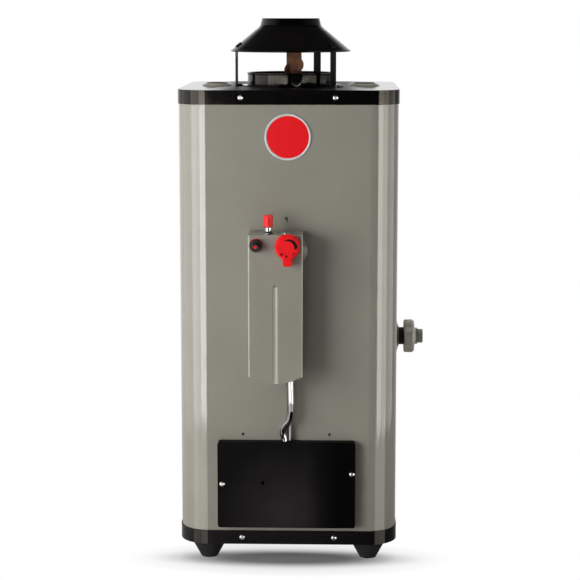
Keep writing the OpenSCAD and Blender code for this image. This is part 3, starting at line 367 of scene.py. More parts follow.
def badgeEnamel():
    # plain red inside, a pale rim where the distance from the middle passes the rim's inner radius
    low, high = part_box("badge")
    middle, radius = (low + high) / 2, (high.x - low.x) / 2
    f = Finish("badgeEnamel", Specular_IOR_Level=0.12, Coat_Weight=0.12, Coat_Roughness=0.1)
    place = f.parts(f.mapped(middle))
    across, up = place["X"], place["Z"]
    reach = f.math("SQRT", f.math("ADD", f.math("MULTIPLY", across, across), f.math("MULTIPLY", up, up)))
    rim = f.spread(reach, 0, 1, radius - badgeLook["rimWidth"] - 0.0002, radius - badgeLook["rimWidth"])
    tint = f.noise(90, 4)
    red = f.colours(tint, (0.3, shade(badgeLook["red"], 0.975)), (0.7, shade(badgeLook["red"], 1.02)))
    pale = f.colours(tint, (0.3, shade(badgeLook["rim"], 0.94)), (0.7, badgeLook["rim"]))
    f.link(f.mix(rim, red, pale), "Base Color")
    f.link(f.spread(f.noise(120, 3), 0.3, 0.4), "Roughness")
    f.link(f.bump(f.noise(300, 2), 0.006), "Normal")
    return f.material


rustLook = {"dark": (0.07, 0.03, 0.014), "brown": (0.17, 0.064, 0.024), "orange": (0.26, 0.098, 0.034),
            "darkBelow": (0.006, 0.005, 0.005), "darkBelowTop": (0.716, 0.728)}


def rustySteel():
    # colour, roughness and bump all follow one patchy noise
    f = Finish("rustySteel")
    patches = f.noise(120, 8, 0.7)
    rust = f.colours(patches, (0.3, rustLook["dark"]), (0.5, rustLook["brown"]), (0.72, rustLook["orange"]))
    # darker, near black, below a set height in the flue
    f.link(f.mix(f.spread(f.parts()["Z"], 0, 1, *rustLook["darkBelowTop"]), rustLook["darkBelow"], rust), "Base Color")
    f.link(f.spread(patches, 0.6, 0.95), "Roughness")
    f.link(f.bump(patches, 0.5, 0.0008, f.bump(f.cells(700), 0.3, 0.0004)), "Normal")
    return f.material


def metalFinish(name, dark, bright, roughness, stretch=(1, 1, 1), scale=140, pits=0.06):
    # bare metal: tone, gloss and bump all follow one stretched noise, with fine pits over it
    f = Finish(name, Metallic=1.0)
    grain = f.noise(scale, 5, 0.6, f.mapped(stretch=stretch))
    f.link(f.colours(grain, (0.32, dark), (0.68, bright)), "Base Color")
    f.link(f.spread(grain, *roughness), "Roughness")
    f.link(f.bump(grain, 0.08, 0.0005, f.bump(f.noise(1100, 2), pits, 0.0005)), "Normal")
    return f.material


def plasticFinish(name, colour, vary, roughness, grainScale, grainDepth, **sockets):
    # moulded plastic: faint cloudy tone, uneven gloss and a fine moulded grain
    f = Finish(name, **sockets)
    f.link(f.colours(f.noise(70, 4), (0.3, shade(colour, 1 - vary)), (0.7, shade(colour, 1 + vary))),
           "Base Color")
    f.link(f.spread(f.noise(200, 3), *roughness), "Roughness")
    f.link(f.bump(f.noise(grainScale, 2), grainDepth, 0.0005), "Normal")
    return f.material


woolLook = {"pale": (0.72, 0.6, 0.26), "deep": (0.42, 0.31, 0.09), "fibreScale": 240}


def glassWool():
    # loose tufts and finer fibres, added for the colour and bumped one over the other
    f = Finish("glassWool", Sheen_Weight=0.4, Sheen_Roughness=0.5)
    tufts = f.noise(38, 8, 0.7)
    fibres = f.noise(woolLook["fibreScale"], 6, 0.75, f.mapped(stretch=(1, 1, 3)))
    f.link(f.colours(f.math("MULTIPLY", f.math("ADD", tufts, fibres), 0.5),
                     (0.35, woolLook["deep"]), (0.65, woolLook["pale"])), "Base Color")
    f.link(f.spread(fibres, 0.8, 1.0), "Roughness")
    f.link(f.bump(fibres, 0.9, 0.002, f.bump(tufts, 0.8, 0.005)), "Normal")
    return f.material


finishes = {
    "jacket_paint": jacketPaint("jacketPaint", jacketLook["coat"]),
    "black_enamel": blackEnamel(),
    "zinc_plate": zincPlate(),
    "badge_enamel": badgeEnamel(),
    "rusty_steel": rustySteel(),
    "vessel_steel": metalFinish("vesselSteel", (0.3, 0.3, 0.31), (0.44, 0.44, 0.44), (0.3, 0.5), (1, 1, 0.2)),
    "heat_steel": metalFinish("heatSteel", (0.05, 0.045, 0.045), (0.14, 0.12, 0.11), (0.45, 0.75)),
    "pipe_steel": metalFinish("pipeSteel", (0.05, 0.05, 0.052), (0.1, 0.1, 0.1), (0.35, 0.6)),
    "wool": glassWool(),
    "pipe_plastic": plasticFinish("pipePlastic", (0.65, 0.64, 0.6), 0.04, (0.4, 0.5), 600, 0.05),
    "drain_plastic": plasticFinish("drainPlastic", (0.52, 0.5, 0.435), 0.08, (0.36, 0.46), 700, 0.2,
                                   Specular_IOR_Level=0.9),
    "cast_aluminium": metalFinish("castAluminium", (0.5, 0.5, 0.5), (0.66, 0.66, 0.65), (0.35, 0.55), pits=0.25),
    "bright_tube": metalFinish("brightTube", (0.23, 0.23, 0.23), (0.29, 0.29, 0.285), (0.03, 0.06), (1, 1, 0.05),
                               600, 0.01),
    "brass": metalFinish("turnedBrass", (0.5, 0.33, 0.1), (0.68, 0.47, 0.17), (0.2, 0.36)),
    "copper_lead": metalFinish("copperLead", (0.42, 0.17, 0.07), (0.66, 0.3, 0.14), (0.25, 0.45)),
    "lead_rubber": plasticFinish("leadRubber", (0.02, 0.02, 0.02), 0.15, (0.5, 0.65), 500, 0.1),
    "ceramic": plasticFinish("ceramic", (0.8, 0.78, 0.72), 0.04, (0.12, 0.25), 300, 0.03, Coat_Weight=0.5),
    "red_plastic": plasticFinish("redPlastic", (0.95, 0.009, 0.014), 0.03, (0.36, 0.48), 500, 0.03,
                                 Specular_IOR_Level=0.1),
    "spindle_steel": metalFinish("spindleSteel", (0.5, 0.5, 0.5), (0.62, 0.62, 0.61), (0.2, 0.32), (0.2, 1, 1)),
    "chrome": metalFinish("chrome", (0.2, 0.2, 0.2), (0.26, 0.26, 0.26), (0.04, 0.1), pits=0.01),
    "black_plastic": plasticFinish("blackPlastic", (0.007, 0.0065, 0.0065), 0.15, (0.3, 0.42), 700, 0.08,
                                   Specular_IOR_Level=0.3),
}
nippleLook = {"pipe": (0.02, 0.019, 0.02), "spout": (0.3, 0.285, 0.25), "change": 12.0 * mm}


def drainPipe():
    # black pipe up to the wheel, grey moulded spout beyond it
    low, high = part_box("drain_nipple")
    f = Finish("drainPipe", Specular_IOR_Level=0.4)
    where = high.x - nippleLook["change"]
    grain = f.noise(260, 5)
    pipe, spout = (f.colours(grain, (0.3, shade(nippleLook[part], 0.85)), (0.7, shade(nippleLook[part], 1.15)))
                   for part in ("pipe", "spout"))
    f.link(f.mix(f.spread(f.parts()["X"], 0, 1, where, where + 0.0004), pipe, spout), "Base Color")
    f.link(f.spread(grain, 0.4, 0.58), "Roughness")
    f.link(f.bump(f.noise(700, 2), 0.15, 0.0005), "Normal")
    return f.material


slotOf = {part["node"]: part["material_slot"] for part in frame["record"]["subparts"]}
for nodeName, nodeObject in nodes.items():
    for holder in nodeObject.material_slots:
        holder.material = finishes[slotOf[nodeName]]
nodes["drain_nipple"].material_slots[0].material = drainPipe()
rosettePaint = jacketPaint("rosettePaint", jacketLook["rosetteCoat"])
for nodeName in ("rosette_thermostat", "rosette_drain", "rosette_hot", "rosette_cold"):
    nodes[nodeName].material_slots[0].material = rosettePaint
for nodeName in paintedSheenAndDustLook:
    nodes[nodeName].material_slots[0].material = paintedSheenAndDustEnamel(nodeName)
footRubber = plasticFinish("footRubber", (0.02, 0.019, 0.02), 0.15, (0.6, 0.75), 600, 0.25,
                           Specular_IOR_Level=0.25)
for nodeName in ("foot_front_left", "foot_front_right", "foot_back_left", "foot_back_right"):
    nodes[nodeName].material_slots[0].material = footRubber
strapEnamel = plasticFinish("strapEnamel", (0.004, 0.0035, 0.0034), 0.2, (0.4, 0.5), 300, 0.05,
                            Specular_IOR_Level=0.12)
for nodeName in ("cap_strap_left", "cap_strap_front", "cap_strap_rear"):
    nodes[nodeName].material_slots[0].material = strapEnamel
print("finishes set on", len(nodes), "nodes")


# Gas tubes and leads, on the same routes as the solids
tubeLook = {"steps": 14, "sides": 28}
tubeRoutes = {
    "burner_tube": (4.5, "bright_tube", [
        (3, -181, 352), (4, -181, 306), (4.5, -181, 268), (4.8, -181, 246), (4.4, -180, 232), (1.8, -177.5, 221),
        (-3.5, -173.5, 213.5), (-7, -170.5, 206.5), (-7, -169, 199), (-5, -168.2, 192), (-4.2, -168, 185),
        (-4.2, -167.8, 177), (-3.8, -165.5, 167), (-2.5, -157, 155), (-1, -147, 144), (0, -140, 126),
        (0, -136, 103), (0, -127, 85), (0, -116, 81)]),
    "pilot_tube": (2.0, "bright_tube", [
        (10, -194, 352), (11.5, -193, 331), (12, -188, 314), (11.6, -179, 300), (8.6, -173, 288),
        (4.5, -171, 274), (3.2, -171, 261), (3.2, -171, 241), (3.2, -170, 224), (3.2, -168.6, 211),
        (3.2, -168, 199), (3.2, -167.6, 186), (3.2, -167.2, 177), (3.2, -163.5, 170.5), (3, -157, 166),
        (1, -147, 161), (-4, -136, 153), (-10, -124, 140), (-17, -110, 118), (-23, -95, 98),
        (-26, -83, 87), (-26, -77, 89), (-26, -76, 100)]),
    "thermocouple": (1.2, "copper_lead", [
        (-9, -177, 358), (-8, -174, 336), (-2, -168, 306), (3.5, -165, 278), (4, -164.5, 246),
        (3.8, -163.5, 224), (3.2, -162.4, 211), (3.2, -161.8, 198), (3.4, -161.6, 187), (5, -161.6, 179),
        (8.5, -160.3, 173), (11, -154, 168), (11, -144, 160), (9, -130, 146), (1, -112, 124),
        (-8, -95, 104), (-12, -84, 96), (-14, -78, 96), (-14, -76, 103), (-14, -76, 128)]),
    "ignition_lead": (1.2, "lead_rubber", [
        (-44, -172, 483.5), (-44, -168, 482.5), (-46, -166, 466), (-46, -166, 406), (-44, -166, 346),
        (-30, -166, 311), (-8, -165, 291), (-1, -164.5, 271), (0, -164.5, 246), (-0.5, -164, 228),
        (-2.5, -163, 216), (-4, -162, 206), (-4.2, -161.6, 196), (-4.4, -161.6, 187), (-6, -161.6, 180),
        (-9, -160.3, 174.5), (-12, -153, 169), (-14, -143, 162), (-16, -130, 152), (-22, -114, 134),
        (-30, -99, 114), (-37, -87, 98), (-39, -79, 94), (-39, -76, 101)]),
}
for tubeName, (tubeRadius, tubeSlot, route) in tubeRoutes.items():
    path = fromBody(easedRoute(route, tubeLook["steps"]))
    buildPiece(tubeName + "_smooth", [tubeGrid(path, tubeRadius * mm, tubeLook["sides"])], "casing", tubeSlot,
               stands=(tubeName,), sharp=60)
print("tubes and leads swept:", len(tubeRoutes))


# Dial: a keyhole outline, that is a circle and a blunt tab, carried through the height levels
dialLook = {"centre": (1, -212, 482.5), "rim": 18.0, "face": 16.2, "front": 18.0, "tabHalf": 7.0, "tabLow": 27.2,
            "tabBlunt": 7, "ringTop": 11.0, "tabTop": 16.5, "hub": 7.0, "hubBack": 0.5, "back": 4.0,
            "tabBack": 6.0, "edge": 1.2, "sides": 240, "round": 0.8}


def dialGrid():
    # the outline is the larger of circle and tab; the tab's share of it lifts the ring to the tab's height
    d = dialLook
    angle = np.linspace(0, 2 * np.pi, d["sides"], endpoint=False)
    down = np.maximum(0, -np.sin(angle))
    # blunt rectangle in polar form: the two half sizes meet in one power sum
    tab = ((np.abs(np.cos(angle)) / d["tabHalf"]) ** d["tabBlunt"]
           + (down / d["tabLow"]) ** d["tabBlunt"] + 1e-12) ** (-1 / d["tabBlunt"])
    tab = np.where(np.sin(angle) < -0.3, tab, 0)
    outline = np.maximum(d["rim"], tab)
    onTab = np.clip((tab - d["rim"] * 0.86) / (d["rim"] * 0.12), 0, 1)
    ring = d["ringTop"] + (d["tabTop"] - d["ringTop"]) * onTab
    flat = np.ones_like(angle)
    radii = [0 * flat, d["hub"] * flat, d["hub"] * flat, (d["rim"] - 0.8) * flat, d["rim"] * flat, outline,
             outline, outline - d["edge"], (d["face"] + 0.9) * flat, d["face"] * flat, (d["face"] - 1.0) * flat,
             0 * flat]
    heights = [d["hubBack"] * flat, d["hubBack"] * flat, d["back"] * flat, d["back"] * flat,
               (d["back"] + 0.9) * flat, d["tabBack"] * flat, ring - d["edge"], ring, ring + 0.5, ring + 1.0,
               d["front"] * flat, d["front"] * flat]
    return turnedGrid(radii, heights, d["round"], d["sides"], d["centre"], "front")


def strokeGrid(middles, sides, halves, low, high):
    # a printed stroke: its half width set off to both sides of a middle line, as a thin closed slab
    out = sides * np.asarray(halves, float)[:, None]
    flat = np.stack([middles - out, middles + out, middles + out, middles - out], 1)
    depth = np.broadcast_to(np.array([low, low, high, high], float), flat.shape[:2])
    local = np.concatenate([flat, depth[..., None]], -1)
    local = np.concatenate([np.repeat(local[:1].mean(1, keepdims=True), 4, 1), local,
                            np.repeat(local[-1:].mean(1, keepdims=True), 4, 1)], 0)
    x, y, z = dialLook["centre"]
    return fromBody(np.stack([x + local[..., 0], y - local[..., 2], z + local[..., 1]], -1))


markLook = {"reach": 12.3, "inner": 9.7, "growth": 5.2, "crescent": (112, -13), "triangle": (-134, 2.4),
            "dot": (-96, 1.7), "dash": (-42, 2.2), "dashHalf": 0.34, "taper": 0.4, "tip": 0.12, "sunk": 0.2,
            "proud": 0.12, "longSteps": 60, "steps": 24}


def dialMarks():
    # a crescent whose width grows by a power along its arc, and three short strokes set along rays
    m = markLook
    low, high = dialLook["front"] - m["sunk"], dialLook["front"] + m["proud"]
    spot = lambda degrees: np.stack([np.cos(np.radians(degrees)), np.sin(np.radians(degrees))], -1)
    along = np.linspace(0, 1, m["longSteps"])
    ray = spot(m["crescent"][0] + (m["crescent"][1] - m["crescent"][0]) * along)
    width = m["growth"] * along ** m["taper"] * np.minimum(1, (1 - along) / m["tip"]) ** 0.5
    marks = [strokeGrid(ray * (m["inner"] + width / 2)[:, None], ray, width / 2 + 0.02, low, high)]
    s = np.linspace(-1, 1, m["steps"])
    for name, shape in (("triangle", (s + 1) / 2), ("dot", np.sqrt(1 - s * s)), ("dash", m["dashHalf"] + 0 * s)):
        angle, size = m[name]
        ray = spot(np.array(float(angle)))
        across = np.array([-ray[1], ray[0]])
        marks.append(strokeGrid(ray * m["reach"] + across * (s * size)[:, None], np.tile(ray, (m["steps"], 1)),
                                shape * size + 0.01, low, high))
    return marks


buildPiece("dial", [dialGrid()], "dial", "red_plastic", stands=("control_knob",), sharp=50)
dialPrint = plasticFinish("dialPrint", (0.004, 0.004, 0.004), 0.2, (0.55, 0.7), 900, 0.03,
                          Specular_IOR_Level=0.1)
buildPiece("dial_marks", dialMarks(), "dial", "black_plastic", sharp=30, finish=dialPrint)
print("dial shaped and marked")


# Pilot button: a cap whose wall waves in and out round the axis, open below over the bush
pilotLook = {"axis": (-27, -198, 0), "radius": 7.05, "flutes": 12, "depth": 0.18, "cavity": 5.85, "low": 508.3,
             "ceiling": 517.5, "top": 525.0, "edge": 0.9, "sides": 192}


def waved(sides, count, depth, sharpness):
    # depth of a ring of grooves at each angle: raised cosine, narrowed by a power
    angle = np.linspace(0, 2 * np.pi, sides, endpoint=False)
    return depth * (0.5 - 0.5 * np.cos(count * angle)) ** sharpness


def pilotGrid():
    # out along the cavity's ceiling, down its wall, out under the rim, up the fluted wall and over the top
    p = pilotLook
    flat = np.ones(p["sides"])
    wall = p["radius"] - waved(p["sides"], p["flutes"], p["depth"], 2)
    radii = [0 * flat, p["cavity"] * flat, p["cavity"] * flat, wall - 0.2, wall, wall, wall - p["edge"], 0 * flat]
    heights = [p["ceiling"], p["ceiling"], p["low"], p["low"], p["low"] + 0.3, p["top"] - p["edge"], p["top"],
               p["top"]]
    return turnedGrid(radii, heights, 0.5, p["sides"], p["axis"], "up")


pilotRed = plasticFinish("pilotRed", (0.95, 0.009, 0.014), 0.03, (0.05, 0.08), 500, 0.01,
                         Specular_IOR_Level=0.15)
buildPiece("pilot_button_cap", [pilotGrid()], "pilot_button", "red_plastic", stands=("pilot_cap",), sharp=50,
           finish=pilotRed)


# Drain wheel: lobes round its edge, a raised hub on the outer side, bored through for the nipple
wheelLook = {"axis": (175.3, 0, 313), "bore": 10.93, "radius": 25.5, "lobes": 4, "depth": 2.6, "edge": 1.5,
             "rim": 13.0, "slope": 2.8, "face": 16.0, "hub": 12.6, "width": 19.2, "sides": 280}


def wheelGrid():
    # from the bore out over the back, up the lobed edge, in over the face and up the hub, then back down the bore
    w = wheelLook
    flat = np.ones(w["sides"])
    edge = w["radius"] - waved(w["sides"], w["lobes"], w["depth"], 3)
    radii = [w["bore"] * flat, edge - w["edge"], edge, edge, edge - w["slope"], (w["hub"] + 1) * flat,
             w["hub"] * flat, w["bore"] * flat, w["bore"] * flat]
    heights = [0, 0, w["edge"], w["rim"], w["face"], w["face"] + 0.4, w["width"], w["width"], 0]
    return turnedGrid(radii, heights, 0.9, w["sides"], w["axis"], "right")


buildPiece("drain_wheel_lobed", [wheelGrid()], "drain_wheel", "drain_plastic", stands=("drain_handwheel",),
           sharp=50)
print("pilot button and drain wheel turned")


# Red spot set in the igniter's push button
spotLook = {"centre": (-44, -231.55, 483.5), "radius": 2.25, "rise": 0.42}
buildPiece("igniter_spot", [turnedGrid([0, spotLook["radius"], spotLook["radius"], spotLook["radius"] * 0.7, 0],
                                       [0, 0, spotLook["rise"] * 0.6, spotLook["rise"] * 0.9, spotLook["rise"]],
                                       0.1, 48, spotLook["centre"], "front")],
           "igniter_button", "red_plastic", sharp=50)

# Rolled edge round the hole in the flue collar
lipLook = {"collar": 65.5, "aside": 10.0, "height": 709.0, "hole": 7.5, "roll": 0.8, "paintedHighlight": (0.75, 0.73, 0.68)}


def lipFinish():
    # black enamel with a painted highlight along the lower edge, where the rim catches the light
    f = Finish("highlightedLip", Specular_IOR_Level=0.4)
    level = (lipLook["height"] - lipLook["hole"] * 0.35) * mm
    highlightHeight = f.math("ADD", f.parts()["Z"], f.spread(f.noise(400, 3), -0.0008, 0.0008))
    # painted highlight: pale below the level, dark enamel above it
    f.link(f.colours(f.spread(highlightHeight, 0, 1, level - 0.003, level + 0.002),
                     (0.1, lipLook["paintedHighlight"]), (0.9, enamelLook["dust"])), "Base Color")
    f.link(f.spread(f.noise(300, 3), 0.25, 0.4), "Roughness")
    f.link(f.bump(f.noise(600, 2), 0.05, 0.0004), "Normal")
    return f.material


def lipGrid():
    # a ring of round section whose middle line lies on the collar's own curve
    k = lipLook
    a = np.linspace(0, 2 * np.pi, 72, endpoint=False)[:, None]
    b = np.linspace(0, 2 * np.pi, 20, endpoint=False)[None, :]
    reach = k["hole"] + k["roll"] * np.cos(b)
    x = k["aside"] + reach * np.cos(a)
    y = -np.sqrt(k["collar"] ** 2 - x ** 2) - k["roll"] * np.sin(b)
    return fromBody(np.stack([x, y, k["height"] + reach * np.sin(a)], -1))


buildPiece("collar_hole_lip", [lipGrid()], "casing", "black_enamel", sharp=80, closeRows=True,
           finish=lipFinish())
print("igniter spot and collar lip set")


# Rolled bead down the outer face of each cap strap
beadLook = {"radius": 85.0, "half": 2.1, "proud": 0.75, "sunk": 0.3, "fade": 0.07, "low": 706.0, "high": 744.0,
            "angles": (196, 320, 62)}


def beadGrid(degrees):
    # half an ellipse across the strap, run up its height and faded to nothing at both ends
    b = beadLook
    up = np.linspace(0, 1, 40)[:, None]
    fade = np.clip(np.minimum(up, 1 - up) / b["fade"], 0, 1) ** 0.5
    turn = np.linspace(0, 2 * np.pi, 24, endpoint=False)[None, :]
    out = b["radius"] + np.where(np.sin(turn) > 0, b["proud"], b["sunk"]) * np.sin(turn) * fade
    side = b["half"] * np.cos(turn) * fade
    height = b["low"] + (b["high"] - b["low"]) * up + 0 * turn
    c, s = math.cos(math.radians(degrees)), math.sin(math.radians(degrees))
    return fromBody(np.stack([out * c - side * s, out * s + side * c, height], -1))


buildPiece("strap_beads", [beadGrid(a) for a in beadLook["angles"]], "casing", "black_enamel", sharp=60,
           finish=strapEnamel)


# Glass wool between vessel and jacket: three blankets, parted at the gas shank and at the drain
woolShape = {"inner": 139.6, "half": 157.4, "corner": 39.0, "low": 30.6, "split": 210.0, "high": 645.6,
             "soft": 1.6, "ending": 0.025, "rows": 150, "around": 56}
blankets = {"wool_lower": (-50.5, 229.0, "low", "split"), "wool_upper_wrap": (6.6, 264.5, "split", "high"),
            "wool_upper_front": (276.5, 353.4, "split", "high")}


def squareReach(angle):
    # distance from the middle to a square with round corners, seen in one folded eighth
    fold = np.abs((angle + np.pi / 4) % (np.pi / 2) - np.pi / 4)
    half, corner = woolShape["half"], woolShape["corner"]
    side = half / np.cos(fold)
    centre = half - corner
    towards = centre * (np.cos(fold) + np.sin(fold))
    bend = towards + np.sqrt(np.maximum(0, towards ** 2 - 2 * centre ** 2 + corner ** 2))
    return np.where(half * np.tan(fold) <= centre, side, bend)


def blanketGrid(start, end, low, high):
    # a soft-cornered section between vessel and jacket, carried round by angle; ends and faces swell and dip
    w = woolShape
    angle = np.radians(np.linspace(start, end, w["rows"]))[:, None]
    turn = np.linspace(0, 2 * np.pi, w["around"], endpoint=False)[None, :]
    outer, inner = squareReach(angle), w["inner"]
    along = np.linspace(0, 1, w["rows"])[:, None]
    ending = np.clip(np.minimum(along, 1 - along) / w["ending"], 0, 1)
    full = np.sqrt(1 - (1 - ending) ** 2)
    power = lambda v, e: np.sign(v) * np.abs(v) ** e
    thick = (outer - inner) / 2
    tall = (w[high] - w[low]) / 2
    height = (w[low] + w[high]) / 2 + tall * power(np.sin(turn), 0.18) * (0.9 + 0.1 * full)
    dips = w["soft"] * (0.5 + 0.25 * np.sin(angle * 41 + height * 0.11)
                        + 0.25 * np.sin(angle * 17 - height * 0.23))
    out = (outer + inner) / 2 + (thick - dips) * power(np.cos(turn), 0.3) * full
    grid = np.stack([out * np.cos(angle), out * np.sin(angle), height + 0 * angle], -1)
    middle = grid.mean(1, keepdims=True)
    close = lambda i: np.repeat(middle[i:i + 1 if i >= 0 else None], w["around"], 1)
    return fromBody(np.concatenate([close(0), grid, close(-1)], 0))


for blanketName, (start, end, low, high) in blankets.items():
    stands = ("insulation",) if blanketName == "wool_lower" else ()
    blanket = buildPiece(blanketName, [blanketGrid(start, end, low, high)], "casing", "wool", stands=stands,
                         sharp=80)
print("strap beads and wool blankets laid")


# Floor, light and camera
floorLook = {"white": (0.6, 0.6, 0.6), "ahead": 0.139, "reach": (0.085, 0.243), "stretch": (1.08, 5.0, 1),
             "shade": 0.3, "shadeReach": (0.2, 0.42), "shadeStretch": (1.7, 5.0, 1),
             "rear": 0.11, "under": (0.1, 0.07), "underFade": (0.07, 0.13),
             "radius": 9.0, "rings": 12, "sides": 96}


def floorFinish():
    # matt near the feet; further off it is seen as plain white, while its own light stays off the object
    f = Finish("studioFloor", Roughness=0.9, Specular_IOR_Level=0.0)
    f.set("Base Color", floorLook["white"])
    f.link(f.spread(f.noise(9, 3), 0.86, 0.94), "Roughness")
    # white beyond a long soft patch at the front feet, with a fainter shade round it
    away, around = f.node("VectorMath", operation="LENGTH"), f.node("VectorMath", operation="LENGTH")
    patch = (bodyMiddle[0], bodyMiddle[1] - floorLook["ahead"], 0)
    f.link(f.mapped(patch, floorLook["stretch"]), away.inputs[0])
    f.link(f.mapped(patch, floorLook["shadeStretch"]), around.inputs[0])
    far = f.spread(away.outputs["Value"], 0, 1, *floorLook["reach"])
    far.node.interpolation_type = "SMOOTHSTEP"
    near = f.spread(around.outputs["Value"], 1 - floorLook["shade"], 1, *floorLook["shadeReach"])
    # the floor round the back feet stays plain too, for their shadow
    place = f.parts(f.mapped((bodyMiddle[0], bodyMiddle[1] + floorLook["rear"], 0)))
    square = []
    for axis, half, fade in zip("XY", floorLook["under"], floorLook["underFade"]):
        past = f.math("MAXIMUM", f.math("SUBTRACT", f.math("ABSOLUTE", place[axis]), half), 0.0)
        square.append(f.math("POWER", f.math("DIVIDE", past, fade), 2.0))
    clear = f.spread(f.math("SQRT", f.math("ADD", *square)), 0, 1, 0, 1)
    clear.node.interpolation_type = "SMOOTHSTEP"
    far = f.math("MULTIPLY", f.math("MULTIPLY", far, near), clear)
    path = f.node("LightPath")
    seen = f.math("MAXIMUM", path.outputs["Is Camera Ray"], path.outputs["Is Transmission Ray"])
    glow = f.node("Emission")
    mix = f.node("MixShader")
    f.link(f.math("MULTIPLY", far, seen), mix.inputs[0])
    f.link(f.shader.outputs[0], mix.inputs[1])
    f.link(glow.outputs[0], mix.inputs[2])
    f.link(mix.outputs[0], f.tree.nodes["Material Output"].inputs["Surface"])
    return f.material


def floorDisc(radius, rings, sides):
    # flat polar grid about the body's middle
    reach = np.linspace(0, radius, rings)[:, None]
    angle = np.linspace(0, 2 * np.pi, sides, endpoint=False)[None, :]
    return np.stack([reach * np.cos(angle) + bodyMiddle[0], reach * np.sin(angle) + bodyMiddle[1],
                     0 * reach * angle], -1)


floorRings, floorSides = floorLook["rings"], floorLook["sides"]
discPoints = floorDisc(floorLook["radius"], floorRings, floorSides)
floorMesh = bpy.data.meshes.new("floor")
floorMesh.from_pydata(discPoints.reshape(-1, 3).tolist(), [], gridFaces(floorRings, floorSides, False).tolist())
floor = bpy.data.objects.new("floor", floorMesh)
bpy.context.scene.collection.objects.link(floor)
floorMesh.materials.append(floorFinish())
floor.visible_glossy = False

# each range is where a wall starts and ends along its axis, then its two levels
studioLook = {"ambient": 0.135, "flag": (-0.75, -0.3, 0.02, 1), "rightSide": (0.1, 0.8, 1, 0.3),
              "ceiling": (0.2, 0.56, 1, 0.06), "ground": (-0.4, -0.16, 0.12, 1)}


def studioWorld():
    # white to the camera, walls of different levels to gloss, and an even low level to matt surfaces
    world = bpy.data.worlds.new("studio")
    bpy.context.scene.world = world
    world.use_nodes = True
    tree = world.node_tree
    back = tree.nodes["Background"]
    back.inputs["Color"].default_value = (1, 1, 1, 1)

    def maths(operation, a, b=0.0):
        # one arithmetic step; a difference is held at 0 and above
        made = tree.nodes.new("ShaderNodeMath")
        made.operation = operation
        made.use_clamp = operation == "SUBTRACT"
        for socket, value in zip(made.inputs, (a, b)):
            if hasattr(value, "is_linked"):
                tree.links.new(value, socket)
            else:
                socket.default_value = value
        return made.outputs["Value"]

    def ranged(value, start, end, low, high):
        # smooth step from low to high between start and end
        made = tree.nodes.new("ShaderNodeMapRange")
        made.interpolation_type = "SMOOTHSTEP"
        for socket, number in zip(("From Min", "From Max", "To Min", "To Max"), (start, end, low, high)):
            made.inputs[socket].default_value = number
        tree.links.new(value, made.inputs["Value"])
        return made.outputs["Result"]

    split = tree.nodes.new("ShaderNodeSeparateXYZ")
    tree.links.new(tree.nodes.new("ShaderNodeTexCoord").outputs["Generated"], split.inputs["Vector"])
    side, depth, height = (split.outputs[k] for k in "XYZ")
    # gloss sees white walls behind and to the left, a dark flag in front, a dim right side, ceiling and ground
    flag = ranged(depth, *studioLook["flag"])
    right = ranged(side, *studioLook["rightSide"])
    above = ranged(height, *studioLook["ceiling"])
    below = ranged(height, *studioLook["ground"])
    walls = maths("MULTIPLY", maths("MULTIPLY", flag, right), maths("MULTIPLY", above, below))
    path = tree.nodes.new("ShaderNodeLightPath")
    seen = maths("MAXIMUM", path.outputs["Is Camera Ray"], path.outputs["Is Transmission Ray"])
    gloss = maths("MULTIPLY", path.outputs["Is Glossy Ray"], walls)
    white = maths("MAXIMUM", seen, gloss)
    other = maths("SUBTRACT", 1.0, maths("MAXIMUM", seen, path.outputs["Is Glossy Ray"]))
    strength = maths("ADD", white, maths("MULTIPLY", other, studioLook["ambient"]))
    tree.links.new(strength, back.inputs["Strength"])


studioWorld()

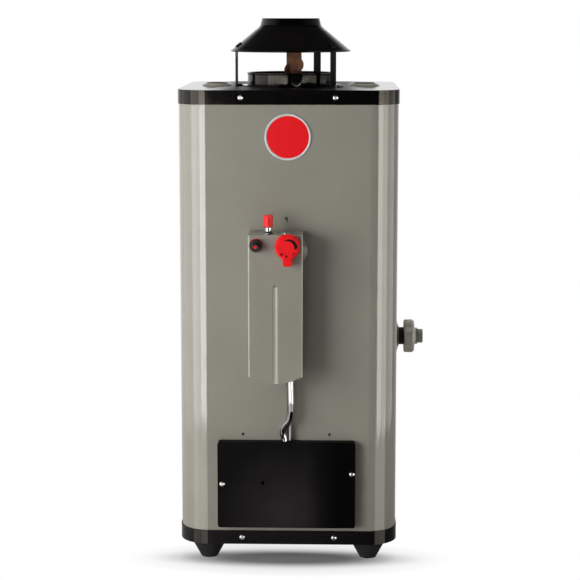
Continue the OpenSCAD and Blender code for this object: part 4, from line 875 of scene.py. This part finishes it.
# each lamp: degrees from the front (right positive), distance, height, width, tallness, glow, and its use:
# gloss panels are seen in gloss alone, spread panels light only the matt surfaces
lampLook = {"warm": (1.0, 0.99, 0.91), "overheadAim": 0.3}
lamps = {
    "edgeStrip": (-17.2, 4.2, -0.12, 1.51, 1.34, 9.4, "gloss"),
    "edgeLow": (-17.2, 4.2, -1.15, 1.51, 0.72, 2.5, "gloss"),
    "keyPanel": (-44, 1.65, 0.42, 1.0, 1.16, 4.0, "gloss"),
    "keyLow": (-44, 1.65, -0.5, 1.0, 0.68, 1.6, "gloss"),
    "keySoft": (-45, 3.4, 0.95, 2.1, 1.9, 7.2, "spread"),
    "leftPanel": (-84, 1.5, 0.42, 1.2, 1.16, 0.8, "both"),
    "rightPanel": (42.5, 4.0, -0.12, 1.37, 1.34, 7.8, "gloss"),
    "rightMiddle": (63, 4.0, -0.12, 1.5, 1.34, 5.0, "gloss"),
    "rightBack": (92, 4.0, -0.12, 2.6, 1.34, 1.9, "gloss"),
    "rightLow": (50, 4.0, -1.15, 3.2, 0.72, 2.0, "gloss"),
    "sideSoft": (104, 3.4, 0.95, 1.6, 1.6, 5.0, "spread"),
    "backSoft": (170, 3.4, 0.95, 2.1, 1.9, 5.0, "spread"),
    "overhead": (180, 0.55, 2.3, 1.6, 1.6, 3.2, "spread"),
}
for lampName, (azimuth, distance, lampHeight, width, tall, glow, use) in lamps.items():
    data = bpy.data.lights.new(lampName, "AREA")
    data.shape = "RECTANGLE"
    data.size, data.size_y = width, tall
    data.energy = glow * math.pi * width * tall
    if lampName.startswith("right"):
        data.color = lampLook["warm"]
    lampObject = bpy.data.objects.new(lampName, data)
    bpy.context.scene.collection.objects.link(lampObject)
    turn = math.radians(azimuth)
    lampObject.location = Vector(bodyMiddle) + Vector((math.sin(turn) * distance, -math.cos(turn) * distance,
                                                       lampHeight))
    # panels face the body's middle line at their own height, the overhead one looks down at it
    aimHeight = lampLook["overheadAim"] if lampName == "overhead" else lampHeight
    aim = Vector(bodyMiddle) + Vector((0, 0, aimHeight))
    lampObject.rotation_euler = (aim - lampObject.location).to_track_quat("-Z", "Y").to_euler()
    lampObject.visible_camera = False
    lampObject.visible_glossy = use != "spread"
    lampObject.visible_diffuse = use != "gloss"

cameraLook = {"aside": 0.065, "away": 2.51, "height": 0.806, "yaw": 1.51, "pitch": 7.92, "lens": 101.9,
              "shift": -0.08, "sensor": 36, "far": 60}
camera = bpy.data.objects.new("camera", bpy.data.cameras.new("camera"))
bpy.context.scene.collection.objects.link(camera)
camera.location = Vector(bodyMiddle) + Vector((cameraLook["aside"], -cameraLook["away"], cameraLook["height"]))
camera.rotation_euler = Euler((math.radians(90 - cameraLook["pitch"]), 0, math.radians(cameraLook["yaw"])))
camera.data.lens = cameraLook["lens"]
camera.data.sensor_width = cameraLook["sensor"]
camera.data.shift_y = cameraLook["shift"]
camera.data.clip_end = cameraLook["far"]
bpy.context.scene.camera = camera
bpy.context.scene.view_settings.view_transform = "Standard"
print("stage, lamps and camera set")
